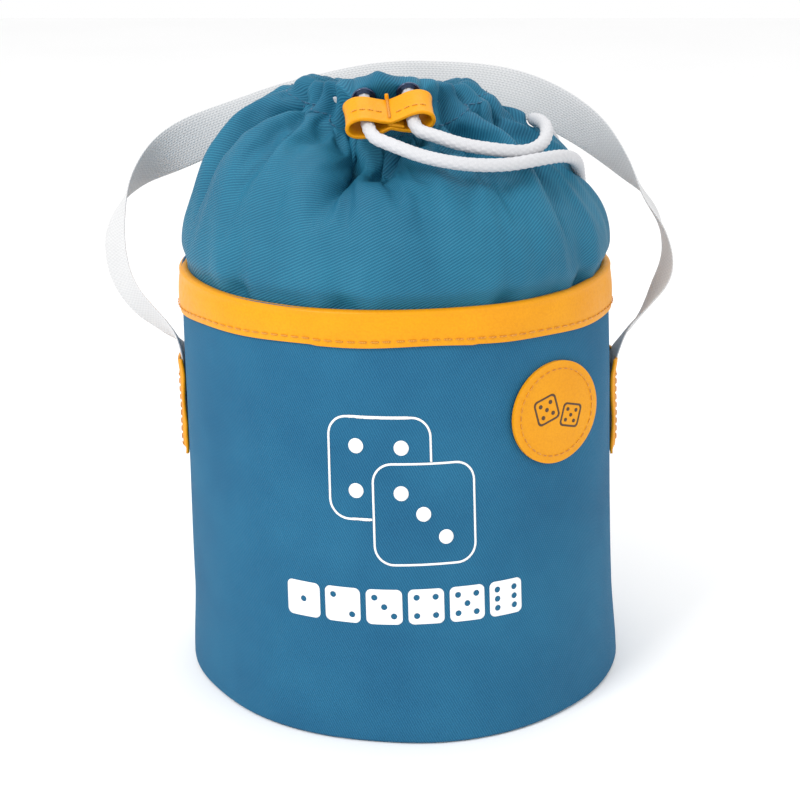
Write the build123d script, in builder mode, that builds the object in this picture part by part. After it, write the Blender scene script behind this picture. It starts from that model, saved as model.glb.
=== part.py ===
"""Drawstring carry bag packed with a set of six large wooden yard dice.

Millimetres, +Z up.  The origin is the centre of the bag's flat underside, the
screen-printed front faces -Y, and the carry strap's two tabs lie at -X and +X.
"""
from build123d import *
from math import cos, radians, sin, tan
import os

os.makedirs("parts", exist_ok=True)

# ---------------------------------------------------------------- driving sizes
BASE_RADIUS = 95.5          # outside of the wall where it would meet the floor
RIM_RADIUS = 92.0           # outside of the wall at the rim
RIM_HEIGHT = 183.0          # top edge of the stiffened wall
CLOTH = 1.0                 # coated polyester outer cloth
PADDING = 1.0               # thin foam that stiffens the wall
LINING = 0.5                # inner lining cloth
BASE_FOLD = 7.0             # rounding where the wall turns under
PANEL_RADIUS = 88.0         # flat base panel, and the board inside it
BOARD = 2.4                 # stiffening board in the base

PU = 1.5                    # thickness of the yellow synthetic leather
BINDING_HEIGHT = 16.0
TAB_WIDTH = 24.0
TAB_LOW = 93.0
TAB_HIGH = 140.0
PATCH_RADIUS = 22.5
PATCH_HEIGHT = 135.0
PATCH_ANGLE = 43.5          # from the front towards +X, degrees

STRAP_WIDTH = 20.0
STRAP_THICK = 1.6
STRAP_LEAN = 31.4           # the strap leans back against the gathered neck, degrees
HINGE_GAP = 1.9             # between the sewn ends and the swinging strap

NECK_CENTRE = (-5.0, 2.5)   # the gathers pull the neck a little to one side
NECK_RADIUS = 39.5
NECK_LOW = 242.0
NECK_HIGH = 261.5
THROAT_RADIUS = 26.0
TUNNEL_RADIUS = 32.5
TUNNEL_HEIGHT = 255.0

CORD = 5.3                  # braided drawcord, diameter
SLIDER_CENTRE = Vector(-4.2, -47.6, 248.9)
SLIDER_DROP = 30.0          # the channels point this far below level, degrees
SLIDER_YAW = 6.6            # and this far round towards +X, degrees
SLIDER_ROLL = 5.0           # the right channel sits a little higher, degrees
SLIDER_LENGTH = 17.0        # along the cords
SLIDER_TRAVEL = 20.0        # room kept clear in front of the slider
DIP_CLEARANCE = 0.7         # the collar dips under the slider by this much
DIP_BACK = 14.0
DIP_WIDTH = 42.0
DIP_LENGTH = SLIDER_TRAVEL + 50.0
DIP_HEIGHT = 60.0
LOBE = (18.4, 9.4)          # outside of one channel, width and height
LOBE_WALL = 1.6
LOBE_PITCH = 17.8           # between the two channels
EYELET_BACK = 5.5           # eyelets stand this far behind the slider

DIE = 70.0
DIE_ROUND = 8.0
DIE_GAP = 0.6
DIE_FLOOR = 4.4             # underside of the lower dice
DIE_LAYER = 0.3             # clearance between the layers
PIP_RADIUS = 6.0
PIP_DEPTH = 1.0
PIP_PITCH = 18.0


def wall(height, inset=0.0):
    """Radius of the tapered wall at a height, less an inset."""
    return BASE_RADIUS + (RIM_RADIUS - BASE_RADIUS) * height / RIM_HEIGHT - inset


def shell_outline(low, high, inner, outer):
    """Corners of a strip that follows the wall between two insets."""
    return [
        (wall(low, inner), low),
        (wall(low, outer), low),
        (wall(high, outer), high),
        (wall(high, inner), high),
    ]


def save(name, part):
    """Label a finished piece and write it to its own file."""
    part.label = name
    export_step(part, f"parts/{name}.step")


# ---------------------------------------------------------------- base
with BuildPart() as base_panel:
    Cylinder(PANEL_RADIUS, CLOTH, align=(Align.CENTER, Align.CENTER, Align.MIN))
save("base_panel", base_panel.part)

with BuildPart() as base_board:
    with BuildSketch(Plane.XY.offset(CLOTH)):
        Circle(PANEL_RADIUS)
    extrude(amount=BOARD)
save("base_board", base_board.part)

with BuildPart() as base_lining:
    with BuildSketch(Plane.XY.offset(CLOTH + BOARD)):
        Circle(PANEL_RADIUS)
    extrude(amount=LINING)
save("base_lining", base_lining.part)

# ---------------------------------------------------------------- wall
with BuildPart() as outer_wall:
    with BuildSketch(Plane.XZ) as wall_section:
        with BuildLine():
            Polyline(
                (PANEL_RADIUS, 0),
                (BASE_RADIUS, 0),
                (RIM_RADIUS, RIM_HEIGHT),
                (RIM_RADIUS - CLOTH, RIM_HEIGHT),
                (BASE_RADIUS - CLOTH, CLOTH),
                (PANEL_RADIUS, CLOTH),
                close=True,
            )
        make_face()
        under_corners = wall_section.vertices().group_by(Axis.Y)[:2]
        outer_corner = under_corners[0].sort_by(Axis.X)[-1]
        fillet(outer_corner, BASE_FOLD)
        inner_corner = wall_section.vertices().filter_by_position(
            Axis.Y, CLOTH - 0.01, CLOTH + 0.01
        ).sort_by(Axis.X)[-1]
        fillet(inner_corner, BASE_FOLD - CLOTH)
    revolve(axis=Axis.Z)
save("outer_wall", outer_wall.part)

LINING_LOW = BASE_FOLD + 1.0
LINING_HIGH = RIM_HEIGHT - 19.0
with BuildPart() as wall_padding:
    with BuildSketch(Plane.XZ):
        with BuildLine():
            Polyline(*shell_outline(LINING_LOW, LINING_HIGH, CLOTH + PADDING, CLOTH), close=True)
        make_face()
    revolve(axis=Axis.Z)
save("wall_padding", wall_padding.part)

with BuildPart() as wall_lining:
    inside = CLOTH + PADDING
    with BuildSketch(Plane.XZ):
        with BuildLine():
            Polyline(*shell_outline(LINING_LOW, LINING_HIGH, inside + LINING, inside), close=True)
        make_face()
    revolve(axis=Axis.Z)
save("wall_lining", wall_lining.part)

# ---------------------------------------------------------------- rim binding
BINDING_LOW = RIM_HEIGHT - BINDING_HEIGHT
INNER_LEG = 0.9
with BuildPart() as rim_binding:
    with BuildSketch(Plane.XZ) as binding_section:
        with BuildLine():
            Polyline(
                (wall(BINDING_LOW), BINDING_LOW),
                (wall(BINDING_LOW, -PU), BINDING_LOW),
                (wall(RIM_HEIGHT, -PU), RIM_HEIGHT + PU),
                (wall(RIM_HEIGHT, CLOTH + INNER_LEG), RIM_HEIGHT + PU),
                (wall(BINDING_LOW, CLOTH + INNER_LEG), BINDING_LOW),
                (wall(BINDING_LOW, CLOTH), BINDING_LOW),
                (RIM_RADIUS - CLOTH, RIM_HEIGHT),
                (RIM_RADIUS, RIM_HEIGHT),
                close=True,
            )
        make_face()
        fillet(binding_section.vertices().group_by(Axis.Y)[-1], PU * 0.8)
    revolve(axis=Axis.Z)
save("rim_binding", rim_binding.part)

# ---------------------------------------------------------------- slider frame
drop = radians(SLIDER_DROP)
yaw = radians(SLIDER_YAW)
along = Vector(sin(yaw) * cos(drop), -cos(yaw) * cos(drop), -sin(drop)).normalized()
level = Vector(cos(radians(SLIDER_ROLL)), 0, sin(radians(SLIDER_ROLL)))
across = (level - along * level.dot(along)).normalized()
slider_face = Plane(SLIDER_CENTRE, x_dir=across, z_dir=along)
proud = slider_face.y_dir       # out of one flat side of the slider
if proud.Z < 0:
    proud = proud * -1


def channel(side, step):
    """A point on a channel's axis: side is -1 or 1, step is along the cords."""
    return SLIDER_CENTRE + across * (side * LOBE_PITCH / 2) + along * step


# ---------------------------------------------------------------- gathered collar
COLLAR_SEAM = 5.0           # the collar is sewn this far down inside the binding
COLLAR_LOW = RIM_HEIGHT - COLLAR_SEAM
COLLAR_CLOTH = 1.4


def collar_solid(shrink):
    """The collar's dome as a filled solid, drawn in by the cloth's thickness."""
    neck = RIM_RADIUS - CLOTH - INNER_LEG - 0.1 - shrink
    with BuildPart() as dome:
        with BuildSketch(Plane.XZ):
            with BuildLine():
                side = Line((neck, COLLAR_LOW), (neck, RIM_HEIGHT + 2))
                bulge = ThreePointArc(
                    side @ 1,
                    (93.0 - shrink, RIM_HEIGHT + 11.5),
                    (87.5 - shrink, 207.5 - shrink * 0.4),
                )
                shoulder = ThreePointArc(
                    bulge @ 1,
                    (78.5 - shrink * 0.7, 220.5 - shrink * 0.7),
                    (65.0 - shrink * 0.4, 232.5 - shrink),
                )
                top = ThreePointArc(
                    shoulder @ 1,
                    (56.0 - shrink * 0.3, 238.5 - shrink),
                    (46.0, 243.5 - shrink),
                )
                Polyline(top @ 1, (0, 243.5 - shrink), (0, COLLAR_LOW), side @ 0)
            make_face()
        revolve(axis=Axis.Z)
        # a shallow dip in front, where the slider and its travel lie
        floor = LOBE[1] / 2 + DIP_CLEARANCE + shrink
        with BuildSketch(slider_face.offset(-DIP_BACK)):
            with Locations((0, DIP_HEIGHT / 2 - floor)):
                Rectangle(DIP_WIDTH + 2 * shrink, DIP_HEIGHT)
        extrude(amount=DIP_LENGTH, mode=Mode.SUBTRACT)
    return dome.part


with BuildPart() as collar:
    add(collar_solid(0))
    add(collar_solid(COLLAR_CLOTH), mode=Mode.SUBTRACT)
    with BuildSketch(Plane.XY.offset(COLLAR_LOW)):
        Circle(RIM_RADIUS - CLOTH - INNER_LEG - 0.1 - COLLAR_CLOTH)
    extrude(amount=COLLAR_SEAM, mode=Mode.SUBTRACT)
    with BuildSketch(Plane.XY.offset(RIM_HEIGHT)):
        with Locations(NECK_CENTRE):
            Circle(NECK_RADIUS + 0.05)
    extrude(amount=100, mode=Mode.SUBTRACT)
save("collar", collar.part)

# ---------------------------------------------------------------- gathered neck
FLANGE_RADIUS = 5.0
FLANGE_THICK = 1.1
BARREL_RADIUS = 3.6
BARREL_DEPTH = 1.6
neck_top = Plane(origin=(*NECK_CENTRE, 0))
eyelet_planes = {
    side: Plane(channel(side, -SLIDER_LENGTH / 2 - EYELET_BACK), x_dir=across, z_dir=along)
    for side in (-1, 1)
}

with BuildPart() as hem_casing:
    with BuildSketch(neck_top.offset(NECK_LOW)):
        Circle(NECK_RADIUS)
        Circle(THROAT_RADIUS, mode=Mode.SUBTRACT)
    extrude(amount=NECK_HIGH - NECK_LOW)
    fillet(hem_casing.faces().sort_by(Axis.Z)[-1].edges(), 4.5)
    with Locations((*NECK_CENTRE, TUNNEL_HEIGHT)):
        Torus(TUNNEL_RADIUS, CORD / 2 + 0.3, mode=Mode.SUBTRACT)
    for side in (-1, 1):
        with BuildSketch(eyelet_planes[side]):
            Circle(FLANGE_RADIUS + 0.1)
        extrude(amount=12, mode=Mode.SUBTRACT)
        with BuildSketch(eyelet_planes[side]):
            Circle(BARREL_RADIUS)
        extrude(amount=-BARREL_DEPTH, mode=Mode.SUBTRACT)
save("hem_casing", hem_casing.part)

for side, name in ((-1, "eyelet_left"), (1, "eyelet_right")):
    with BuildPart() as eyelet:
        with BuildSketch(eyelet_planes[side]):
            Circle(FLANGE_RADIUS)
        extrude(amount=FLANGE_THICK)
        fillet(eyelet.edges().filter_by(GeomType.CIRCLE), 0.5)
        with BuildSketch(eyelet_planes[side]):
            Circle(BARREL_RADIUS)
        extrude(amount=-BARREL_DEPTH)
        with BuildSketch(eyelet_planes[side].offset(-BARREL_DEPTH)):
            Circle(CORD / 2 + 0.25)
        extrude(amount=BARREL_DEPTH + FLANGE_THICK, mode=Mode.SUBTRACT)
    save(name, eyelet.part)

with BuildPart() as drawcord_loop:
    with Locations((*NECK_CENTRE, TUNNEL_HEIGHT)):
        Torus(TUNNEL_RADIUS, CORD / 2)
save("drawcord_loop", drawcord_loop.part)

# ---------------------------------------------------------------- slider
lobe_centres = [(-LOBE_PITCH / 2, 0), (LOBE_PITCH / 2, 0)]
with BuildPart() as slider_band:
    with BuildSketch(slider_face.offset(-SLIDER_LENGTH / 2)):
        with Locations(*lobe_centres):
            SlotOverall(*LOBE)
        with Locations(*lobe_centres):
            SlotOverall(LOBE[0] - 2 * LOBE_WALL, LOBE[1] - 2 * LOBE_WALL, mode=Mode.SUBTRACT)
    extrude(amount=SLIDER_LENGTH)
save("slider_band", slider_band.part)

TACK_RADIUS = 0.6
with BuildPart() as slider_tack:
    with BuildSketch(slider_face.offset(-SLIDER_LENGTH / 2 - 0.5)):
        with Locations((0, 3.05)):
            Circle(TACK_RADIUS)
    extrude(amount=SLIDER_LENGTH - 1)
save("slider_tack", slider_tack.part)

# ---------------------------------------------------------------- cord tails
TAIL_START = -SLIDER_LENGTH / 2 - EYELET_BACK - 1.0
TAIL_ROUTES = {
    # out of the left eyelet, through the slider, across the front of the dome,
    # over its right shoulder and down behind
    "cord_tail_left": [
        channel(-1, TAIL_START),
        channel(-1, 10.0),
        (-4.5, -64.0, 241.0),
        (9.0, -68.5, 237.0),
        (25.0, -68.0, 234.5),
        (41.0, -61.0, 233.0),
        (55.0, -49.5, 232.5),
        (67.5, -34.0, 230.5),
        (77.0, -15.0, 226.5),
        (84.5, 7.0, 218.5),
        (90.5, 28.0, 205.0),
        (89.5, 42.5, 188.0),
        (86.5, 49.0, 171.0),
        (87.5, 49.5, 152.0),
    ],
    # out of the right eyelet, then a tighter hook over the dome's right shoulder
    "cord_tail_right": [
        channel(1, TAIL_START),
        channel(1, 10.0),
        (13.5, -59.5, 243.0),
        (25.0, -61.0, 240.5),
        (38.0, -58.0, 239.5),
        (50.5, -49.0, 239.5),
        (58.5, -35.5, 240.5),
        (61.5, -20.5, 243.0),
        (60.0, -5.0, 245.5),
        (57.5, 10.0, 246.0),
        (60.0, 25.5, 242.0),
        (67.0, 39.5, 232.0),
        (73.5, 51.0, 217.0),
        (77.5, 59.0, 199.0),
        (76.5, 62.5, 180.0),
        (77.5, 62.5, 160.0),
    ],
}


def corner_radii(route):
    """The largest arc that each corner's two runs allow."""
    points = [Vector(p) for p in route]
    radii = []
    for before, here, after in zip(points, points[1:], points[2:]):
        turn = radians((here - before).get_angle(after - here))
        shorter = min((here - before).length, (after - here).length)
        radii.append(0.45 * shorter / tan(turn / 2))
    return radii


KNOT_LENGTH = 13.0
KNOT_RADIUS = 5.6
for name, route in TAIL_ROUTES.items():
    points = [Vector(p) for p in route]
    radii = corner_radii(points)
    with BuildPart() as cord_tail:
        with BuildLine() as path:
            FilletPolyline(*points, radius=radii)
        with BuildSketch(Plane(points[0], z_dir=points[1] - points[0])):
            Circle(CORD / 2)
        sweep()
    save(name, cord_tail.part)
    length = sum(edge.length for edge in path.edges())
    section = 3.141593 * (CORD / 2) ** 2
    print(name, "length", round(length, 1), "radii", [round(r, 1) for r in radii])
    print(name, "volume / (section x length)", round(cord_tail.part.volume / section / length, 4))
    end_direction = (points[-1] - points[-2]).normalized()
    with BuildPart() as cord_knot:
        with BuildSketch(Plane(points[-1], z_dir=end_direction)):
            Circle(KNOT_RADIUS)
        extrude(amount=KNOT_LENGTH)
        fillet(cord_knot.edges(), KNOT_RADIUS * 0.8)
    save(name.replace("tail", "knot"), cord_knot.part)

# ---------------------------------------------------------------- strap
lean = radians(STRAP_LEAN)
strap_plane = Plane(origin=(0, 0, TAB_HIGH), x_dir=(1, 0, 0), z_dir=(0, -cos(lean), sin(lean)))
ROOT_RADIUS = STRAP_WIDTH / 2
# the arch in its leaning plane: across the bag, and up from the swing axis
STRAP_ARCH = [
    (-94.0, 3.0),
    (-105.0, 12.5),
    (-118.0, 24.0),
    (-126.0, 40.0),
    (-127.5, 60.0),
    (-119.0, 80.0),
    (-101.0, 95.0),
    (-75.0, 106.5),
    (-43.0, 118.5),
    (-8.0, 126.5),
    (32.0, 125.5),
    (61.0, 119.0),
    (84.0, 104.5),
    (100.0, 86.5),
    (112.0, 69.0),
    (118.5, 50.0),
    (116.5, 32.0),
    (107.0, 17.0),
    (94.0, 3.0),
]
with BuildPart() as strap:
    arch = [strap_plane.from_local_coords(Vector(x, up, 0)) for x, up in STRAP_ARCH]
    with BuildLine() as arch_path:
        FilletPolyline(*arch, radius=corner_radii(arch))
    with BuildSketch(Plane(arch[0], x_dir=strap_plane.z_dir, z_dir=arch[1] - arch[0])):
        Rectangle(STRAP_WIDTH, STRAP_THICK)
    sweep()
    with Locations((0, 0, TAB_HIGH)):
        Cylinder(
            ROOT_RADIUS + HINGE_GAP,
            3 * BASE_RADIUS,
            rotation=(0, 90, 0),
            mode=Mode.SUBTRACT,
        )
save("strap", strap.part)
print("strap arch length", round(sum(edge.length for edge in arch_path.edges()), 1))

ROOT_LOW = TAB_LOW + 4.0
ROOT_INSET = -0.1
TAB_INSET = ROOT_INSET - STRAP_THICK - 0.1
OUTSIDE = 80.0              # planes at this distance stand well outside the dice
for side, word in ((-1, "left"), (1, "right")):
    side_plane = Plane.YZ.offset(side * OUTSIDE)
    with BuildPart() as strap_root:
        with BuildSketch(Plane.XZ):
            with BuildLine():
                Polyline(
                    *shell_outline(ROOT_LOW, TAB_HIGH + ROOT_RADIUS, ROOT_INSET, ROOT_INSET - STRAP_THICK),
                    close=True,
                )
            make_face()
        revolve(axis=Axis.Z)
        with BuildSketch(side_plane):
            with Locations((0, (ROOT_LOW + TAB_HIGH) / 2)):
                Rectangle(STRAP_WIDTH, TAB_HIGH - ROOT_LOW)
            with Locations((0, TAB_HIGH)):
                Circle(ROOT_RADIUS)
        extrude(amount=side * 30, mode=Mode.INTERSECT)
    save(f"strap_root_{word}", strap_root.part)

    with BuildPart() as strap_tab:
        with BuildSketch(Plane.XZ):
            with BuildLine():
                Polyline(*shell_outline(TAB_LOW, TAB_HIGH, TAB_INSET, TAB_INSET - PU), close=True)
            make_face()
        revolve(axis=Axis.Z)
        with BuildSketch(side_plane):
            with Locations((0, (TAB_LOW + TAB_HIGH) / 2)):
                RectangleRounded(TAB_WIDTH, TAB_HIGH - TAB_LOW, 3)
        extrude(amount=side * 30, mode=Mode.INTERSECT)
    save(f"strap_tab_{word}", strap_tab.part)

# ---------------------------------------------------------------- round patch
patch_turn = radians(PATCH_ANGLE)
patch_out = Vector(sin(patch_turn), -cos(patch_turn), 0)
patch_plane = Plane(
    patch_out * OUTSIDE + Vector(0, 0, PATCH_HEIGHT),
    x_dir=(cos(patch_turn), sin(patch_turn), 0),
    z_dir=patch_out,
)
with BuildPart() as side_patch:
    with BuildSketch(Plane.XZ):
        with BuildLine():
            patch_low = PATCH_HEIGHT - PATCH_RADIUS
            patch_high = PATCH_HEIGHT + PATCH_RADIUS
            Polyline(*shell_outline(patch_low, patch_high, -0.1, -0.1 - PU), close=True)
        make_face()
    revolve(axis=Axis.Z)
    with BuildSketch(patch_plane):
        Circle(PATCH_RADIUS)
    extrude(amount=30, mode=Mode.INTERSECT)
save("side_patch", side_patch.part)

# ---------------------------------------------------------------- dice
PIPS = {
    1: [(0, 0)],
    2: [(-1, -1), (1, 1)],
    3: [(-1, -1), (0, 0), (1, 1)],
    4: [(-1, -1), (-1, 1), (1, -1), (1, 1)],
    5: [(-1, -1), (-1, 1), (0, 0), (1, -1), (1, 1)],
    6: [(-1, -1), (-1, 0), (-1, 1), (1, -1), (1, 0), (1, 1)],
}
FACES = [
    ((1, 0, 0), (0, 1, 0)),
    ((0, 1, 0), (-1, 0, 0)),
    ((0, 0, 1), (1, 0, 0)),
]


def die_at(centre, values):
    """A rounded wooden die; values are its +X, +Y and +Z faces, opposites add to seven."""
    with BuildPart(Plane(centre)) as die:
        Box(DIE, DIE, DIE)
        fillet(die.edges(), DIE_ROUND)
        for (out, level_dir), value in zip(FACES, values):
            for sign, spots in ((1, PIPS[value]), (-1, PIPS[7 - value])):
                normal = Vector(out) * sign
                face_plane = Plane(Vector(centre) + normal * DIE / 2, x_dir=level_dir, z_dir=normal)
                with BuildSketch(face_plane):
                    with Locations(*[(x * PIP_PITCH, y * PIP_PITCH) for x, y in spots]):
                        Circle(PIP_RADIUS)
                extrude(amount=-PIP_DEPTH, mode=Mode.SUBTRACT)
    return die.part


# three dice stand in the smallest circle: two side by side, one centred behind them
PAIR_X = (DIE + DIE_GAP) / 2
FRONT_Y = -22.6
BACK_Y = FRONT_Y + DIE + DIE_GAP
LAYOUT = [(-PAIR_X, FRONT_Y), (PAIR_X, FRONT_Y), (0, BACK_Y)]
LOW_Z = DIE_FLOOR + DIE / 2
HIGH_Z = LOW_Z + DIE + DIE_LAYER
FACE_VALUES = [(1, 2, 3), (2, 3, 1), (4, 1, 2), (5, 3, 6), (3, 6, 2), (6, 4, 5)]
spots_by_die = [(x, y, z) for z in (LOW_Z, HIGH_Z) for x, y in LAYOUT]
for number, (spot, values) in enumerate(zip(spots_by_die, FACE_VALUES), start=1):
    save(f"die_{number}", die_at(spot, values))
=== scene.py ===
"""Looks for the drawstring bag of yard dice: cloth, webbing, cord, synthetic leather and wood.

Lengths are in millimetres until a mesh is made, and angles round the bag are
measured from the front (-Y) towards +X.
"""
import math

import bmesh
import bpy
import numpy as np
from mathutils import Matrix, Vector


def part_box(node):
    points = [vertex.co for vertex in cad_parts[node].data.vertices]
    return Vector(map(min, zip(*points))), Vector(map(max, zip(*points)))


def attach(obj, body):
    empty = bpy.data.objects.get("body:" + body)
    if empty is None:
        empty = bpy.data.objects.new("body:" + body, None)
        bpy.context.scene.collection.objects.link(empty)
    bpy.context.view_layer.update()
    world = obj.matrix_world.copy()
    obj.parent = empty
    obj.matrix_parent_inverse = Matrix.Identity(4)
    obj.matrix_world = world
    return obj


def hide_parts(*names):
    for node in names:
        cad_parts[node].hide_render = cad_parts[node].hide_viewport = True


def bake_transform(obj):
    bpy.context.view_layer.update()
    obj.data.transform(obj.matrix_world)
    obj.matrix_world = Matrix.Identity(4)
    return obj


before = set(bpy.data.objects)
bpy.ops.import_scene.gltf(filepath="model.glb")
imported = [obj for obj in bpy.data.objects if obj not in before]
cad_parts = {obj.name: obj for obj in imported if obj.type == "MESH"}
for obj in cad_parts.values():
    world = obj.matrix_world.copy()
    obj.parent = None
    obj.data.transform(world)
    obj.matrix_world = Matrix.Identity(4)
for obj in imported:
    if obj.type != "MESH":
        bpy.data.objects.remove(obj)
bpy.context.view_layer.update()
scene = bpy.context.scene
MM = 0.001
dice_random = np.random.default_rng(7)

# ---------------------------------------------------------------- the bag's sizes
BASE_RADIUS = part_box("outer_wall")[1].x / MM
RIM_RADIUS = BASE_RADIUS - 4.3      # the filled wall draws in towards the rim
RIM_HEIGHT = 181.0                  # the wall's top edge, inside the binding
BASE_LEAN = 2.6                     # the bag leans: its foot stands this far to +X
RIM_LEAN = -2.4                     # and its rim this far to -X
CLOTH = 1.0
BASE_FOLD = 1.8
PANEL_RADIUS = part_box("base_panel")[1].x / MM
NECK_CENTRE = np.array([-5.0, 2.5])
CORD = 5.3
BULGE_TURN = 60                     # the wall swells a little behind the patch: angle in degrees,
BULGE_HEIGHT = 134                  # height, depth,
BULGE_DEPTH = 2.6
BULGE_SPREAD = 0.27                 # reach round the bag in radians
BULGE_RISE = 30                     # and reach up and down


def smooth(value, low=0.0, high=1.0):
    """0 below low, 1 above high and an even S between them."""
    t = np.clip((np.asarray(value, float) - low) / (high - low), 0, 1)
    return t * t * (3 - 2 * t)


def lean(z):
    """Sideways shift of the bag at a height."""
    return BASE_LEAN + (RIM_LEAN - BASE_LEAN) * np.asarray(z) / RIM_HEIGHT


def wall_radius(z):
    return BASE_RADIUS + (RIM_RADIUS - BASE_RADIUS) * np.asarray(z) / RIM_HEIGHT


def turn_gap(turn, centre=0.0):
    """How far an angle is from another, in radians, whichever way is shorter."""
    return np.abs((turn - centre + math.pi) % (2 * math.pi) - math.pi)


def slack(turn, z):
    """Soft unevenness of the stiffened wall, in and out."""
    rise = np.asarray(z) / RIM_HEIGHT
    waves = 0.30 * np.sin(2 * turn + 0.7 + 2.2 * rise) + 0.24 * np.sin(5 * turn - 1.1 - 5.0 * rise)
    ripple = 0.10 * np.sin(9 * turn + 9.0 * rise) + 0.08 * np.sin(14 * turn - 12.0 * rise)
    foot = (0.9 + 0.5 * np.sin(4 * turn + 1.3) + 0.35 * np.sin(7 * turn - 0.6)) * (1 - smooth(rise, 0, 0.2))
    beside = turn_gap(turn, math.radians(BULGE_TURN)) / BULGE_SPREAD
    above = (np.asarray(z) - BULGE_HEIGHT) / BULGE_RISE
    bulge = BULGE_DEPTH * np.exp(-(beside**2) - above**2)
    return waves + ripple + foot + bulge


def wall_point(turn, z, out=0.0):
    """A point on the leaning wall; turn is from the front towards +X, out is off its face."""
    radius = wall_radius(z) + slack(turn, z) + out
    x = lean(z) + radius * np.sin(turn)
    y = -radius * np.cos(turn)
    return np.stack(np.broadcast_arrays(x, y, np.asarray(z, float)), axis=-1)


# ---------------------------------------------------------------- mesh helpers
def new_mesh(name, points, faces, uvs=None):
    """A smooth-shaded mesh object from points in millimetres; uvs hold one pair per face corner."""
    mesh = bpy.data.meshes.new(name)
    mesh.from_pydata((np.asarray(points).reshape(-1, 3) * MM).tolist(), [], faces)
    if uvs is not None:
        layer = mesh.uv_layers.new(name="UVMap")
        layer.data.foreach_set("uv", np.asarray(uvs, np.float32).ravel())
    mesh.update()
    for polygon in mesh.polygons:
        polygon.use_smooth = True
    piece = bpy.data.objects.new(name, mesh)
    scene.collection.objects.link(piece)
    return piece


def grid(name, points, uv, closed=False):
    """A sheet of quads. points is rows x columns; uv has one more column if the rows close."""
    rows, columns = points.shape[:2]
    across = columns if closed else columns - 1
    row, column = np.meshgrid(np.arange(rows - 1), np.arange(across), indexing="ij")
    row, column = row.ravel(), column.ravel()
    after = (column + 1) % columns
    faces = np.stack(
        [
            row * columns + column,
            row * columns + after,
            (row + 1) * columns + after,
            (row + 1) * columns + column,
        ],
        axis=1,
    )
    corners = np.stack(
        [uv[row, column], uv[row, column + 1], uv[row + 1, column + 1], uv[row + 1, column]], axis=1
    )
    return new_mesh(name, points, faces.tolist(), corners * MM)


def apply_modifiers(piece):
    """Replaces a piece's mesh by what its modifiers make of it."""
    graph = bpy.context.evaluated_depsgraph_get()
    made = bpy.data.meshes.new_from_object(
        piece.evaluated_get(graph), preserve_all_data_layers=True, depsgraph=graph
    )
    piece.modifiers.clear()
    old = piece.data
    piece.data = made
    made.name = old.name
    bpy.data.meshes.remove(old)
    for polygon in made.polygons:
        polygon.use_smooth = True
    return piece


def thicken(piece, thickness, offset=-1.0, even=True):
    """Gives a sheet its thickness; offset -1 grows it inwards and 0 to both sides."""
    solid = piece.modifiers.new("thickness", "SOLIDIFY")
    solid.thickness = thickness * MM
    solid.offset = offset
    solid.use_even_offset = even
    return apply_modifiers(piece)


def subdivide(piece, levels=1):
    rounder = piece.modifiers.new("rounder", "SUBSURF")
    rounder.levels = levels
    rounder.render_levels = levels
    return apply_modifiers(piece)


def finish_piece(piece, body, material, slot, *replaced):
    """Paints a piece, lets it ride on its body and hides the parts it replaces; its slot is not used."""
    piece.data.materials.clear()
    piece.data.materials.append(material)
    if body:
        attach(piece, body)
    if replaced:
        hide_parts(*replaced)
    return piece


def catmull(points, count):
    """Evenly spaced points along a smooth line through a few given ones."""
    p = np.asarray(points, float)
    p = np.vstack([2 * p[0] - p[1], p, 2 * p[-1] - p[-2]])
    t = np.linspace(0, 1, 24, endpoint=False)[:, None]
    runs = []
    for a, b, c, d in zip(p, p[1:], p[2:], p[3:]):
        square = 2 * a - 5 * b + 4 * c - d
        cube = 3 * b - a - 3 * c + d
        runs.append(0.5 * (2 * b + (c - a) * t + square * t**2 + cube * t**3))
    dense = np.vstack([*runs, p[-2:-1]])
    return spaced(dense, count)


def spaced(line, count):
    """The same line with evenly spaced points."""
    steps = np.linalg.norm(np.diff(line, axis=0), axis=1)
    reach = np.concatenate([[0], np.cumsum(steps)])
    want = np.linspace(0, reach[-1], count)
    return np.stack([np.interp(want, reach, line[:, k]) for k in range(line.shape[1])], axis=1)


def line_length(line):
    return float(np.linalg.norm(np.diff(line, axis=0), axis=1).sum())


def nurbs_line(name, route, spacing=0.5):
    """Even points along the NURBS spline whose control points are the route's, in millimetres."""
    curve = bpy.data.curves.new(name, "CURVE")
    curve.dimensions = "3D"
    spline = curve.splines.new("NURBS")
    spline.points.add(len(route) - 1)
    for point, place in zip(spline.points, route):
        point.co = (*(np.asarray(place, float) * MM), 1.0)
    spline.order_u = 3
    spline.use_endpoint_u = True
    spline.resolution_u = 24
    holder = bpy.data.objects.new(name, curve)
    scene.collection.objects.link(holder)
    bpy.context.view_layer.update()
    graph = bpy.context.evaluated_depsgraph_get()
    mesh = bpy.data.meshes.new_from_object(holder.evaluated_get(graph))
    points = np.array([v.co for v in mesh.vertices], float) / MM
    bpy.data.objects.remove(holder)
    bpy.data.curves.remove(curve)
    bpy.data.meshes.remove(mesh)
    return spaced(points, max(2, int(line_length(points) / spacing) + 1))


def unit(v):
    v = np.asarray(v, float)
    return v / np.maximum(np.linalg.norm(v, axis=-1, keepdims=True), 1e-12)


def line_frames(line, start_side):
    """Tangents, and a side direction carried along a line without spinning."""
    tangent = unit(np.gradient(line, axis=0))
    side = np.empty_like(line)
    current = np.asarray(start_side, float)
    for i, t in enumerate(tangent):
        current = current - t * (current @ t)
        current = current / np.linalg.norm(current)
        side[i] = current
    return tangent, side, np.cross(tangent, side)


STITCH_RINGS = 7
STITCH_SIDES = 6


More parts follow.
